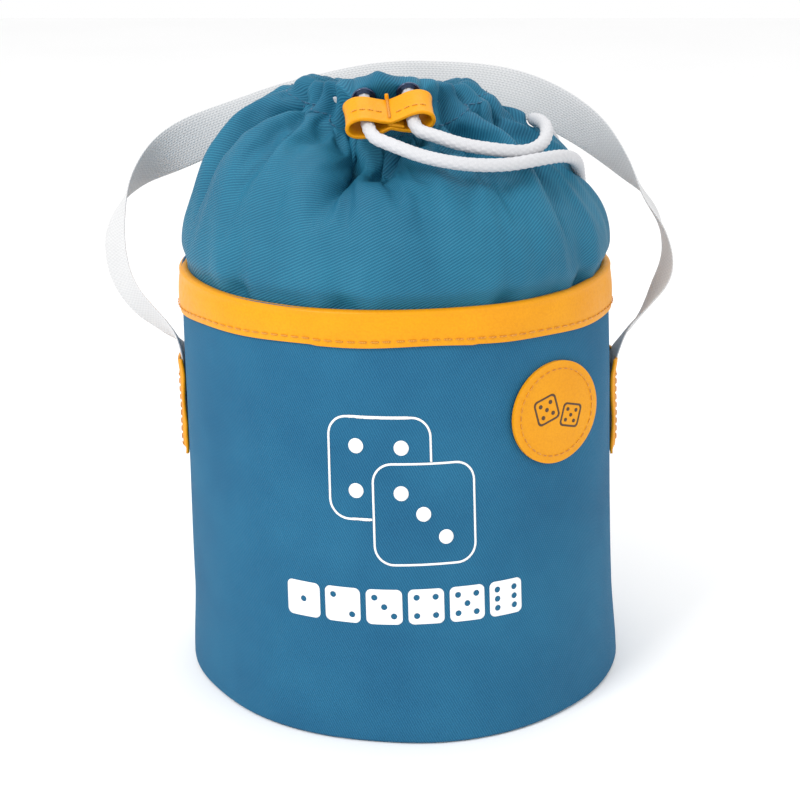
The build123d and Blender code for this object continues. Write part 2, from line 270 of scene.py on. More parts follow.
def stitch_row(name, line, out, pitch, dash, thick, body, material, slot="yellow_thread", sink=0.15):
    """A row of separate stitches along a line on a face; out holds the face's outward directions."""
    length = line_length(line)
    reach = np.concatenate([[0], np.cumsum(np.linalg.norm(np.diff(line, axis=0), axis=1))])
    points, faces = [], []
    for start in np.arange(0.5 * (pitch - dash), length - dash, pitch):
        along = start + dash * (0.5 - 0.5 * np.cos(np.linspace(0, math.pi, STITCH_RINGS)))
        centre = np.stack([np.interp(along, reach, line[:, k]) for k in range(3)], axis=1)
        up = unit(np.stack([np.interp(along, reach, out[:, k]) for k in range(3)], axis=1))
        tangent = unit(np.gradient(centre, axis=0))
        side = unit(np.cross(tangent, up))
        swell = np.sqrt(np.clip(np.sin(np.linspace(0.06, 0.94, STITCH_RINGS) * math.pi), 0, 1))
        first = len(points) * STITCH_SIDES
        for c, u, s, w in zip(centre, up, side, swell):
            turns = np.linspace(0, 2 * math.pi, STITCH_SIDES, endpoint=False)[:, None]
            lifted = c + u * (thick * 0.5 * w - sink * (1 - w) - sink)
            points.append(lifted + thick * 0.5 * w * (np.cos(turns) * s + np.sin(turns) * u))
        for r in range(STITCH_RINGS - 1):
            for k in range(STITCH_SIDES):
                a = first + r * STITCH_SIDES + k
                b = first + r * STITCH_SIDES + (k + 1) % STITCH_SIDES
                faces.append((a, b, b + STITCH_SIDES, a + STITCH_SIDES))
        faces.append(tuple(first + k for k in reversed(range(STITCH_SIDES))))
        last = first + (STITCH_RINGS - 1) * STITCH_SIDES
        faces.append(tuple(last + k for k in range(STITCH_SIDES)))
    row = new_mesh(name, np.vstack(points), faces)
    return finish_piece(row, body, material, slot)


# ---------------------------------------------------------------- materials
def rgb(red, green, blue):
    """A colour in scene units from its everyday 0 to 255 values."""
    shares = [c / 255 for c in (red, green, blue)]
    return tuple(c / 12.92 if c <= 0.04045 else ((c + 0.055) / 1.055) ** 2.4 for c in shares) + (1.0,)


class Paint:
    """A procedural material, with short calls for its nodes."""

    def __init__(self, name, roughness, **finish):
        self.material = bpy.data.materials.new(name)
        self.material.use_nodes = True
        self.tree = self.material.node_tree
        self.shader = self.tree.nodes["Principled BSDF"]
        self.shader.inputs["Roughness"].default_value = roughness
        for socket, value in finish.items():
            self.shader.inputs[socket.replace("_", " ")].default_value = value

    def node(self, kind, inputs=None, **settings):
        made = self.tree.nodes.new(kind)
        for key, value in settings.items():
            setattr(made, key, value)
        for key, value in (inputs or {}).items():
            self.plug(made.inputs[key], value)
        return made

    def plug(self, socket, value):
        if isinstance(value, bpy.types.NodeSocket):
            self.tree.links.new(value, socket)
        else:
            socket.default_value = value

    def math(self, operation, *values):
        made = self.node("ShaderNodeMath", operation=operation)
        for socket, value in zip(made.inputs, values):
            self.plug(socket, value)
        return made.outputs[0]

    def place(self, kind="UV"):
        return self.node("ShaderNodeTexCoord").outputs[kind]

    def parts(self, vector):
        split = self.node("ShaderNodeSeparateXYZ", {0: vector})
        return split.outputs

    def wave(self, distance, pitch, phase=0.0):
        """A sine from 0 to 1 that repeats every pitch of a distance in metres."""
        turns = self.math("MULTIPLY", distance, 2 * math.pi / pitch)
        swing = self.math("SINE", self.math("ADD", turns, phase))
        return self.math("MULTIPLY_ADD", swing, 0.5, 0.5)

    def slanted(self, vector, angle):
        """Distance across ribs that run at an angle, in degrees, above the u direction."""
        x, y = self.parts(vector)[:2]
        across = math.radians(angle + 90)
        along_x = self.math("MULTIPLY", x, math.cos(across))
        along_y = self.math("MULTIPLY", y, math.sin(across))
        return self.math("ADD", along_x, along_y)

    def noise(self, vector, scale, detail=3.0, rough=0.55):
        made = self.node(
            "ShaderNodeTexNoise", {"Vector": vector, "Scale": scale, "Detail": detail, "Roughness": rough}
        )
        return made.outputs["Fac"]

    def cells(self, vector, scale, feature="F1"):
        made = self.node("ShaderNodeTexVoronoi", {"Vector": vector, "Scale": scale}, feature=feature)
        return made.outputs["Distance"]

    def mix(self, share, first, second):
        made = self.node("ShaderNodeMix", {0: share, 6: first, 7: second}, data_type="RGBA")
        return made.outputs[2]

    def ranged(self, value, low, high, to_low=0.0, to_high=1.0):
        made = self.node("ShaderNodeMapRange", {0: value, 1: low, 2: high, 3: to_low, 4: to_high})
        return made.outputs[0]

    def colour(self, value):
        self.plug(self.shader.inputs["Base Color"], value)

    def rough(self, value):
        self.plug(self.shader.inputs["Roughness"], value)

    def bump(self, height, distance, strength=1.0):
        """Adds relief; distance is in metres."""
        made = self.node("ShaderNodeBump", {"Height": height, "Distance": distance, "Strength": strength})
        normal = self.shader.inputs["Normal"]
        if normal.is_linked:
            self.tree.links.new(normal.links[0].from_socket, made.inputs["Normal"])
        self.tree.links.new(made.outputs[0], normal)


def twill(name, ribs, pitch, light, dark, roughness, sheen):
    """Coated twill: slanted ribs crossed by fine yarns, with a soft cloudy tone and painted shade in the
    valleys between ribs and yarns.
    """
    paint = Paint(name, roughness, Sheen_Weight=sheen, Sheen_Roughness=0.45, Specular_IOR_Level=0.2)
    uv = paint.place()
    wander = paint.math("MULTIPLY", paint.noise(uv, 90, 2), 0.00055)
    across = paint.math("ADD", paint.slanted(uv, ribs), wander)
    rib = paint.wave(across, pitch)
    yarn = paint.wave(paint.slanted(uv, ribs - 62), pitch * 0.42)
    fibre = paint.noise(uv, 2600, 2)
    cloud = paint.noise(uv, 26, 3)
    # painted shade: the weave's share of the tone darkens the valleys between ribs and yarns and lightens
    # their crests
    weave = paint.math("MULTIPLY_ADD", yarn, 0.28, paint.math("MULTIPLY", rib, 0.72))
    rib_shade = paint.math("MULTIPLY", weave, 0.52)
    tone = paint.math("MULTIPLY_ADD", paint.ranged(cloud, 0.3, 0.7), 0.22, rib_shade)
    tone = paint.math("MULTIPLY_ADD", fibre, 0.26, tone)
    paint.colour(paint.mix(tone, dark, light))
    paint.rough(paint.ranged(weave, 0, 1, roughness + 0.12, roughness - 0.05))
    paint.bump(weave, 0.00022, 0.8)
    paint.bump(fibre, 0.00004, 0.5)
    paint.bump(cloud, 0.0012, 0.25)
    return paint.material


def synthetic_leather():
    """Yellow coated leather cloth with a fine pebble and a faint rubbed tone."""
    paint = Paint("yellow_pu", 0.48, Specular_IOR_Level=0.22)
    place = paint.place("Object")
    pebble = paint.cells(place, 1300, "SMOOTH_F1")
    wrinkle = paint.noise(place, 420, 4, 0.6)
    cloud = paint.noise(place, 45, 2)
    worn = paint.mix(paint.ranged(cloud, 0.3, 0.72), rgb(220, 146, 4), rgb(226, 153, 6))
    pitted = paint.math("MULTIPLY", paint.ranged(pebble, 0.25, 0.7), 0.22)
    paint.colour(paint.mix(pitted, worn, rgb(196, 116, 6)))
    paint.rough(paint.ranged(wrinkle, 0.3, 0.7, 0.36, 0.5))
    paint.bump(pebble, 0.0001, 0.25)
    paint.bump(wrinkle, 0.0003, 0.2)
    return paint.material


def sewing_thread(name, light, dark):
    """Twisted thread: fine slanting plies."""
    paint = Paint(name, 0.6, Sheen_Weight=0.2)
    place = paint.place("Object")
    ply = paint.wave(paint.slanted(place, 40), 0.0005)
    paint.colour(paint.mix(ply, dark, light))
    paint.bump(ply, 0.00008, 0.6)
    return paint.material


def webbing(name):
    """White webbing in a flat basket weave, greyed by painted shade where threads dip."""
    paint = Paint(name, 0.78, Sheen_Weight=0.25, Sheen_Roughness=0.5)
    uv = paint.place()
    across, along = paint.parts(uv)[:2]
    warp = paint.wave(across, 0.00105)
    shift = paint.math("MULTIPLY", paint.wave(across, 0.0021), math.pi)
    turns = paint.math("MULTIPLY_ADD", along, 2 * math.pi / 0.0016, shift)
    weft = paint.math("MULTIPLY_ADD", paint.math("SINE", turns), 0.5, 0.5)
    weave = paint.math("MULTIPLY_ADD", weft, 0.55, paint.math("MULTIPLY", warp, 0.45))
    fibre = paint.noise(uv, 3000, 2)
    cloud = paint.noise(uv, 30, 2)
    # painted shade: the weave's share of the tone greys the webbing where threads dip and leaves their crests
    # light
    tone = paint.math("MULTIPLY_ADD", fibre, 0.3, paint.math("MULTIPLY", weave, 0.5))
    tone = paint.math("MULTIPLY_ADD", cloud, 0.25, tone)
    paint.colour(paint.mix(tone, rgb(172, 173, 175), rgb(220, 220, 220)))
    paint.bump(weave, 0.00022, 0.8)
    paint.bump(fibre, 0.00006, 0.4)
    return paint.material


def cord_yarn():
    """White braid yarn: fine filaments on each plait."""
    paint = Paint("white_braid", 0.7, Sheen_Weight=0.1)
    uv = paint.place()
    filament = paint.wave(paint.slanted(uv, 62), 0.00042)
    fuzz = paint.noise(uv, 1800, 3)
    tone = paint.math("MULTIPLY_ADD", fuzz, 0.4, paint.math("MULTIPLY", filament, 0.4))
    paint.colour(paint.mix(tone, rgb(178, 179, 184), rgb(224, 224, 225)))
    paint.bump(filament, 0.00008, 0.6)
    paint.bump(fuzz, 0.00008, 0.5)
    return paint.material


def plain_weave(name, light, dark, pitch, roughness):
    """Light plain-woven cloth, for linings."""
    paint = Paint(name, roughness, Sheen_Weight=0.1)
    uv = paint.place("Object")
    x, y, z = paint.parts(uv)
    warp = paint.wave(paint.math("ADD", x, y), pitch)
    weft = paint.wave(z, pitch)
    weave = paint.math("MULTIPLY", warp, weft)
    cloud = paint.noise(uv, 40, 3)
    tone = paint.math("MULTIPLY_ADD", cloud, 0.5, paint.math("MULTIPLY", weave, 0.5))
    paint.colour(paint.mix(tone, dark, light))
    paint.bump(weave, 0.0001, 0.6)
    return paint.material


def foam(name):
    """Open-celled padding."""
    paint = Paint(name, 0.92)
    place = paint.place("Object")
    cell = paint.cells(place, 900)
    cloud = paint.noise(place, 60, 2)
    tone = paint.math("MULTIPLY_ADD", cloud, 0.5, paint.math("MULTIPLY", cell, 0.6))
    paint.colour(paint.mix(tone, rgb(198, 200, 202), rgb(232, 233, 233)))
    paint.bump(cell, 0.0004, 0.7)
    return paint.material


def grey_board(name):
    """Pressed fibre board."""
    paint = Paint(name, 0.85)
    place = paint.place("Object")
    speck = paint.noise(place, 700, 5, 0.7)
    cloud = paint.noise(place, 35, 3)
    tone = paint.math("MULTIPLY_ADD", cloud, 0.4, paint.math("MULTIPLY", speck, 0.6))
    paint.colour(paint.mix(tone, rgb(126, 116, 102), rgb(176, 166, 150)))
    paint.bump(speck, 0.0002, 0.5)
    return paint.material


def sanded_wood(name, shift):
    """Pale sanded wood: long growth rings cut at a slant, with fine pores."""
    paint = Paint(name, 0.5, Coat_Weight=0.12, Coat_Roughness=0.35)
    moved = paint.node(
        "ShaderNodeMapping", {"Vector": paint.place("Object"), "Location": shift, "Rotation": shift}
    )
    place = moved.outputs[0]
    stretched = paint.node("ShaderNodeMapping", {"Vector": place, "Scale": (1.0, 1.0, 0.12)}).outputs[0]
    bend = paint.noise(stretched, 22, 3)
    x, y, z = paint.parts(place)
    rings = paint.math("ADD", paint.math("MULTIPLY", bend, 0.02), paint.math("MULTIPLY_ADD", y, 0.35, x))
    ring = paint.wave(rings, 0.0052)
    pores = paint.noise(stretched, 900, 3, 0.7)
    late_wood = paint.math("MULTIPLY", paint.math("POWER", ring, 2.2), 0.55)
    tone = paint.math("MULTIPLY_ADD", pores, 0.4, late_wood)
    paint.colour(paint.mix(tone, rgb(232, 204, 158), rgb(196, 152, 98)))
    paint.rough(paint.ranged(pores, 0.3, 0.7, 0.44, 0.58))
    paint.bump(pores, 0.00012, 0.4)
    return paint.material


def pip_paint():
    """Matt dark paint in the dice's pips, with the wood's grain showing faintly."""
    paint = Paint("pip_paint", 0.55)
    place = paint.place("Object")
    grain = paint.noise(place, 500, 3)
    paint.colour(paint.mix(grain, rgb(20, 20, 22), rgb(46, 44, 44)))
    paint.bump(grain, 0.0001, 0.4)
    return paint.material


def eyelet_enamel():
    """Dark glossy painted metal."""
    paint = Paint("eyelet_enamel", 0.16, Metallic=0.6, Coat_Weight=0.8, Coat_Roughness=0.06)
    place = paint.place("Object")
    scuff = paint.noise(place, 600, 3)
    paint.colour(paint.mix(scuff, rgb(14, 34, 66), rgb(30, 62, 104)))
    paint.rough(paint.ranged(scuff, 0.3, 0.7, 0.12, 0.26))
    return paint.material


def screen_ink(name, light, dark, roughness=0.55):
    """Printed ink: nearly even, with the cloth's texture just showing through."""
    paint = Paint(name, roughness)
    place = paint.place("Object")
    grain = paint.noise(place, 1500, 2)
    cloud = paint.noise(place, 200, 2)
    tone = paint.math("MULTIPLY_ADD", grain, 0.5, paint.math("MULTIPLY", cloud, 0.5))
    paint.colour(paint.mix(tone, dark, light))
    paint.bump(grain, 0.00005, 0.4)
    return paint.material


# each twill's dark colour shows in the painted shade between its ribs, and its light colour on their crests
body_cloth = twill("body_twill", 117, 0.00095, rgb(44, 116, 150), rgb(8, 70, 108), 0.7, 0.0)
collar_cloth = twill("collar_twill", 27, 0.0011, rgb(46, 128, 156), rgb(2, 62, 94), 0.5, 0.0)
lining_cloth = plain_weave("lining_weave", rgb(70, 118, 150), rgb(44, 86, 118), 0.0009, 0.7)
padding_foam = foam("padding_cells")
base_board_face = grey_board("pressed_board")
yellow_pu = synthetic_leather()
yellow_thread = sewing_thread("ochre_thread", rgb(222, 150, 22), rgb(178, 108, 10))
blue_thread = sewing_thread("blue_thread", rgb(40, 106, 140), rgb(22, 72, 104))
strap_webbing = webbing("white_webbing")
braid = cord_yarn()
pip_black = pip_paint()
enamel = eyelet_enamel()
print_white = screen_ink("print_ink", rgb(244, 244, 244), rgb(228, 230, 232))
motif_ink = screen_ink("motif_ink", rgb(86, 56, 24), rgb(62, 38, 14))

# ---------------------------------------------------------------- camera and light
camera_data = bpy.data.cameras.new("camera")
camera = bpy.data.objects.new("camera", camera_data)
scene.collection.objects.link(camera)
camera.location = (0.0, -0.729, 0.351)
camera.rotation_euler = (math.radians(72.2), 0.0, 0.0)
camera_data.lens = 78.03
camera_data.sensor_width = 36.0
scene.camera = camera
scene.view_settings.view_transform = "Standard"

world = bpy.data.worlds.new("studio")
world.use_nodes = True
world.node_tree.nodes["Background"].inputs["Color"].default_value = (1.0, 1.0, 1.0, 1.0)
world.node_tree.nodes["Background"].inputs["Strength"].default_value = 1.0
scene.world = world


def soft_light(name, place, target, size, power):
    """A square studio light aimed at a point."""
    data = bpy.data.lights.new(name, "AREA")
    data.size = size
    data.energy = power
    light = bpy.data.objects.new(name, data)
    light.location = place
    light.rotation_euler = (Vector(target) - Vector(place)).to_track_quat("-Z", "Y").to_euler()
    scene.collection.objects.link(light)
    return light


soft_light("key_light", (-0.9, -1.0, 1.3), (0, 0, 0.13), 0.6, 16.0)
soft_light("fill_light", (1.2, -0.9, 0.7), (0, 0, 0.12), 0.8, 2.5)
soft_light("top_light", (0.1, 0.5, 1.5), (0, 0, 0.2), 0.8, 4.0)

floor_paint = Paint("floor_white", 0.85)
floor_place = floor_paint.place("Object")
floor_tone = floor_paint.noise(floor_place, 3, 2)
floor_paint.colour(floor_paint.mix(floor_tone, (0.93, 0.93, 0.93, 1.0), (0.96, 0.96, 0.96, 1.0)))
FLOOR = 3000.0
floor = new_mesh(
    "floor",
    [(-FLOOR, -FLOOR, 0), (FLOOR, -FLOOR, 0), (FLOOR, FLOOR, 0), (-FLOOR, FLOOR, 0)],
    [(0, 1, 2, 3)],
)
floor.location.z = -0.0002
floor.data.materials.append(floor_paint.material)

# ---------------------------------------------------------------- slider frame
SLIDER_CENTRE = np.array([-4.2, -47.6, 248.9])
SLIDER_DROP = math.radians(30.0)
SLIDER_YAW = math.radians(6.6)
SLIDER_ROLL = math.radians(5.0)
SLIDER_BACK = -8.3
SLIDER_FRONT = 5.6
LOBE_PITCH = 17.8
along = unit([
    math.sin(SLIDER_YAW) * math.cos(SLIDER_DROP),
    -math.cos(SLIDER_YAW) * math.cos(SLIDER_DROP),
    -math.sin(SLIDER_DROP),
])
level = np.array([math.cos(SLIDER_ROLL), 0, math.sin(SLIDER_ROLL)])
across = unit(level - along * (level @ along))
proud = np.cross(across, along)
proud = proud if proud[2] > 0 else -proud


def channel(side, step):
    """A point on a channel's axis: side is -1 or 1, step is along the cords."""
    return SLIDER_CENTRE + across * (side * LOBE_PITCH / 2) + along * step


# ---------------------------------------------------------------- cords
TAIL_ROUTES = {
    # out of the left channel, across the front of the dome, over its right shoulder and down behind
    "left": [
        channel(-1, 0.0),
        channel(-1, 10.0),
        (-4.5, -64.0, 241.0),
        (9.0, -68.5, 236.5),
        (25.0, -68.0, 233.5),
        (41.0, -61.0, 232.0),
        (55.5, -49.0, 232.5),
        (67.0, -34.0, 231.5),
        (73.5, -16.0, 226.0),
        (76.5, 4.0, 215.0),
        (80.0, 26.0, 200.0),
        (84.0, 42.0, 185.0),
        (86.5, 49.0, 169.0),
        (87.5, 49.5, 152.0),
    ],
    # out of the right channel, then a tighter hook over the dome's right shoulder
    "right": [
        channel(1, 0.0),
        channel(1, 10.0),
        (13.0, -59.5, 243.5),
        (24.0, -61.0, 240.0),
        (38.0, -58.0, 237.5),
        (50.0, -49.0, 235.0),
        (58.0, -37.0, 237.0),
        (60.0, -24.0, 241.0),
        (58.5, -9.0, 241.5),
        (56.0, 7.0, 240.0),
        (59.0, 23.0, 236.5),
        (66.0, 38.0, 229.5),
        (73.0, 50.5, 216.0),
        (77.0, 58.5, 199.0),
        (76.5, 62.5, 180.0),
        (77.5, 62.5, 160.0),
    ],
}
tail_lines = {}
PLAITS = 8                  # diamonds round the braid
PLAIT_LENGTH = 3.9          # one strand's crossing, along the cord
BRAID_SIDES = 32


def braided(name, line, radius, relief=0.34, squeeze=None):
    """A round braid along a line: strands cross in diamonds that stand out of the surface."""
    tangent, side, up = line_frames(line, (0.3, 0.2, 1.0))
    reach = np.concatenate([[0], np.cumsum(np.linalg.norm(np.diff(line, axis=0), axis=1))])
    turns = np.linspace(0, 2 * math.pi, BRAID_SIDES, endpoint=False)
    run = 2 * math.pi * reach[:, None] / PLAIT_LENGTH
    first = np.sin(0.5 * (PLAITS * turns[None, :] + run))
    second = np.sin(0.5 * (PLAITS * turns[None, :] - run))
    diamond = np.abs(first * second) ** 0.55
    width = np.full(len(line), radius) if squeeze is None else radius * squeeze
    swell = width[:, None] - relief + relief * 1.25 * diamond
    ring = np.cos(turns)[None, :, None] * side[:, None, :] + np.sin(turns)[None, :, None] * up[:, None, :]
    points = line[:, None, :] + swell[:, :, None] * ring
    u = np.concatenate([turns, [2 * math.pi]]) * radius
    uv = np.stack(np.broadcast_arrays(u[None, :], reach[:, None]), axis=-1)
    tube = grid(name, points, uv, closed=True)
    close_ends(tube)
    return tube


def close_ends(piece):
    """Fills the open ends of a tube."""
    work = bmesh.new()
    work.from_mesh(piece.data)
    rims = [e for e in work.edges if e.is_boundary]
    bmesh.ops.holes_fill(work, edges=rims, sides=0)
    bmesh.ops.recalc_face_normals(work, faces=work.faces)
    work.to_mesh(piece.data)
    work.free()
    for polygon in piece.data.polygons:
        polygon.use_smooth = True


def overhand_knot(name, start, direction, tail):
    """A pulled-tight overhand knot at a cord's end, with a short cut tail beyond it."""
    direction = unit(direction)
    side = unit(np.cross(direction, (0.2, 1.0, 0.1)))
    up = np.cross(direction, side)
    turns = np.linspace(0, 2 * math.pi * 1.12, 90)
    wrap = 0.5 + 0.5 * np.cos(1.5 * turns)
    ring = 2.9 + 0.9 * np.sin(1.5 * turns)
    loop = (
        start
        + direction * (1.2 + 7.2 * (turns / turns[-1]) - 2.4 * (wrap - 0.5))[:, None]
        + side * (ring * np.cos(turns))[:, None]
        + up * (ring * np.sin(turns))[:, None]
    )
    lead_in = start + direction * np.linspace(-1.0, 1.0, 8)[:, None]
    lead_out = start + direction * np.linspace(9.0, 9.0 + tail, 12)[:, None]
    knot = catmull(np.vstack([lead_in[::4], loop[::9], lead_out[::4]]), 130)
    return braided(name, knot, CORD / 2 - 0.15, relief=0.3)


for word, sign in (("left", -1), ("right", 1)):
    lead = np.linspace(channel(sign, -16.5), channel(sign, 0.0), 40)
    lead_piece = braided(f"cord_lead_{word}", lead, CORD / 2)
    finish_piece(lead_piece, None, braid, "cord_braid")
    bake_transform(lead_piece)

    line = nurbs_line(f"tail_route_{word}", TAIL_ROUTES[word], spacing=0.42)
    tail_lines[word] = line
    tail_piece = braided(f"cord_{word}", line, CORD / 2)
    finish_piece(tail_piece, None, braid, "cord_braid", f"cord_tail_{word}")
    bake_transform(tail_piece)
    knot_piece = overhand_knot(f"knot_{word}", line[-1], line[-1] - line[-6], 3.0)
    finish_piece(knot_piece, "bag", braid, "cord_braid", f"cord_knot_{word}")

# ---------------------------------------------------------------- slider
BAND = 1.5
# the strip's middle line across the slider: round the left lobe, pinched by the tack,
# round the right lobe and back
LOBE_LINE = [
    (0.0, 1.1),
    (4.0, 2.4),
    (8.4, 4.1),
    (12.6, 4.4),
    (15.9, 2.5),
    (16.5, -0.7),
    (14.5, -3.3),
    (10.2, -4.3),
    (5.0, -3.4),
    (0.0, -1.4),
]


def slider_point(place, step):
    """A point from (across, proud) places and steps along the cords."""
    place = np.asarray(place, float)
    in_section = across * place[..., 0:1] + proud * place[..., 1:2]
    return SLIDER_CENTRE + in_section + along * np.asarray(step)[..., None]


def slider_band():
    """The folded strip: two lobes with a little curl along both cut edges."""
    right = catmull(LOBE_LINE, 60)
    left = right[::-1] * (-1, 1)
    loop = np.vstack([right[:-1], left[:-1]])
    steps = np.linspace(SLIDER_BACK, SLIDER_FRONT, 21)
    reach = np.linspace(0, line_length(np.vstack([loop, loop[:1]])), len(loop) + 1)
    edge = np.abs(np.linspace(-1, 1, len(steps)))
    rows = []
    for step, e in zip(steps, edge):
        flare = 1.0 + 0.035 * e**3
        rows.append(slider_point(loop * flare, np.full(len(loop), step)))
    uv = np.stack(np.broadcast_arrays(reach[None, :], steps[:, None]), axis=-1)
    band = grid("slider_strip", np.array(rows), uv, closed=True)
    thicken(band, BAND, offset=0.0)
    edge_bevel = band.modifiers.new("edges", "BEVEL")
    edge_bevel.width = 0.35 * MM
    edge_bevel.segments = 2
    edge_bevel.limit_method = "ANGLE"
    return apply_modifiers(band)


band = slider_band()
finish_piece(band, "slider", yellow_pu, "yellow_leather", "slider_band")

lap_line = catmull([(-1.0, 0.2), (2.0, -0.7), (5.2, -2.0)], 14)
lap_steps = np.linspace(SLIDER_BACK + 0.3, SLIDER_FRONT - 0.2, 12)
lap_rows = np.array([slider_point(lap_line, np.full(len(lap_line), s)) for s in lap_steps])
lap_uv = np.stack(np.meshgrid(np.linspace(0, 8, 14), lap_steps), axis=-1)
lap = thicken(grid("slider_lap", lap_rows, lap_uv), 1.2, offset=0.0)
finish_piece(lap, "slider", yellow_pu, "yellow_leather")

for sign, word in ((-1, "left"), (1, "right")):
    crown = [(2.5, 1.9), (5.5, 2.9), (8.4, 4.1), (12.6, 4.4), (15.5, 2.9)]
    seam = catmull([(w * sign, h) for w, h in crown], 40)
    off_face = np.stack([-np.gradient(seam[:, 1]), np.gradient(seam[:, 0])], axis=1) * sign
    raised = seam + unit(off_face) * (BAND / 2)
    seam_line = slider_point(raised, np.full(len(seam), 0.6 + 0.6 * sign))
    seam_out = np.repeat(proud[None, :], len(seam), axis=0)
    stitch_row(f"slider_seam_{word}", seam_line, seam_out, 3.4, 2.5, 0.55, "slider", yellow_thread, sink=0.05)

tack_line = slider_point(np.repeat([[0.0, 1.85]], 40, axis=0), np.linspace(-8.2, 4.2, 40))
tack_out = np.repeat(proud[None, :], 40, axis=0)
tack = stitch_row("slider_bar_tack", tack_line, tack_out, 1.05, 1.5, 1.0, "slider", yellow_thread, sink=0.0)
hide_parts("slider_tack")
nub_rise = np.stack([np.zeros(12), np.linspace(1.0, 4.2, 12)], axis=1)
nub_line = slider_point(nub_rise, np.linspace(-8.0, -8.9, 12))
nub = braided("slider_tack_end", nub_line, 0.8, relief=0.1)
finish_piece(nub, "slider", yellow_pu, "yellow_leather")

# ---------------------------------------------------------------- strap
STRAP_LEAN = math.radians(31.4)
STRAP_WIDTH = 20.0
STRAP_THICK = 1.3
SWING_HEIGHT = 140.0
STRAP_ROOT_OUT = 0.75          # how far the sewn ends' middle stands off the wall
plane_up = np.array([0.0, math.sin(STRAP_LEAN), math.cos(STRAP_LEAN)])
plane_out = np.array([0.0, -math.cos(STRAP_LEAN), math.sin(STRAP_LEAN)])
# the arch in its leaning plane: across the bag, up from the swing axis, and the
# twist of its flat face, in degrees: 0 faces forward, 90 is edge-on
STRAP_ARCH = [
    (-94.0, 3.0, 90),
    (-105.0, 12.5, 97),
    (-118.0, 24.0, 112),
    (-126.0, 40.0, 124),
    (-127.5, 60.0, 120),
    (-119.0, 80.0, 88),
    (-101.0, 95.0, 42),
    (-75.0, 106.5, 14),
    (-43.0, 118.5, 9),
    (-8.0, 126.5, 9),
    (32.0, 125.5, 12),
    (61.0, 119.0, 26),
    (84.0, 104.5, 50),
    (100.0, 86.5, 82),
    (112.0, 69.0, 112),
    (118.5, 50.0, 94),
    (116.5, 32.0, 72),
    (107.0, 17.0, 82),
    (94.0, 3.0, 90),
]


def strap_ribbon():
    """One length of webbing from inside the left tab, over the neck, to inside the right tab."""
    root_heights = (100.0, 114.0, 128.0)
    left_root = [wall_point(-math.pi / 2, z, STRAP_ROOT_OUT) for z in root_heights]
    right_root = [wall_point(math.pi / 2, z, STRAP_ROOT_OUT) for z in root_heights[::-1]]
    arch = [np.array([x, 0, SWING_HEIGHT]) + plane_up * up for x, up, _ in STRAP_ARCH]
    route = np.array(left_root + arch + right_root)
    line = nurbs_line("strap_route", route, spacing=0.8)
    twist_given = [90] * 3 + [angle for _, _, angle in STRAP_ARCH] + [90] * 3
    runs = np.concatenate([[0], np.cumsum(np.linalg.norm(np.diff(route, axis=0), axis=1))])
    reach = np.concatenate([[0], np.cumsum(np.linalg.norm(np.diff(line, axis=0), axis=1))])
    smooth_twist = catmull(np.stack([runs / runs[-1] * 100, twist_given], axis=1), 600)
    twist = np.radians(np.interp(reach / reach[-1] * 100, smooth_twist[:, 0], smooth_twist[:, 1]))
    tangent = unit(np.gradient(line, axis=0))
    out = np.repeat(plane_out[None, :], len(line), axis=0)
    rooted = smooth(line[:, 2], 136, 150)[:, None]
    out = unit(out * rooted + np.array([0.0, -1.0, 0.0]) * (1 - rooted))
    in_plane = unit(np.cross(out, tangent))
    wide = in_plane * np.cos(twist)[:, None] + out * np.sin(twist)[:, None]
    wide = unit(wide - tangent * np.sum(wide * tangent, axis=1, keepdims=True))
    face = np.cross(tangent, wide)
    return line, reach, tangent, wide, face


def flat_ribbon(name, line, reach, wide, face, width, thickness, sides=28, scallop=0.12, pitch=1.6):
    """A flat woven ribbon with rounded, faintly scalloped edges."""
    angle = np.linspace(0, 2 * math.pi, sides, endpoint=False)
    flat_x = np.sign(np.cos(angle)) * np.abs(np.cos(angle)) ** 0.45
    flat_y = np.sign(np.sin(angle)) * np.abs(np.sin(angle)) ** 0.75
    half = width / 2 + scallop * np.sin(2 * math.pi * reach / pitch)
    half = half + 0.25 * np.sin(reach / 21) + 0.15 * np.sin(reach / 7.7)
    ripple = 0.18 * np.sin(reach[:, None] / 9 + 2.4 * flat_x[None, :])
    points = (
        line[:, None, :]
        + (half[:, None] * flat_x[None, :])[..., None] * wide[:, None, :]
        + (thickness / 2 * flat_y[None, :] + ripple)[..., None] * face[:, None, :]
    )
    u = np.concatenate([flat_x, flat_x[:1]]) * width / 2
    uv = np.stack(np.broadcast_arrays(u[None, :], reach[:, None]), axis=-1)
    piece = grid(name, points, uv, closed=True)
    close_ends(piece)
    return piece


strap_line, strap_reach, _, strap_wide, strap_face = strap_ribbon()
strap_piece = flat_ribbon(
    "webbing_strap", strap_line, strap_reach, strap_wide, strap_face, STRAP_WIDTH, STRAP_THICK
)
finish_piece(
    strap_piece, None, strap_webbing, "strap_webbing", "strap", "strap_root_left", "strap_root_right"
)
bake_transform(strap_piece)

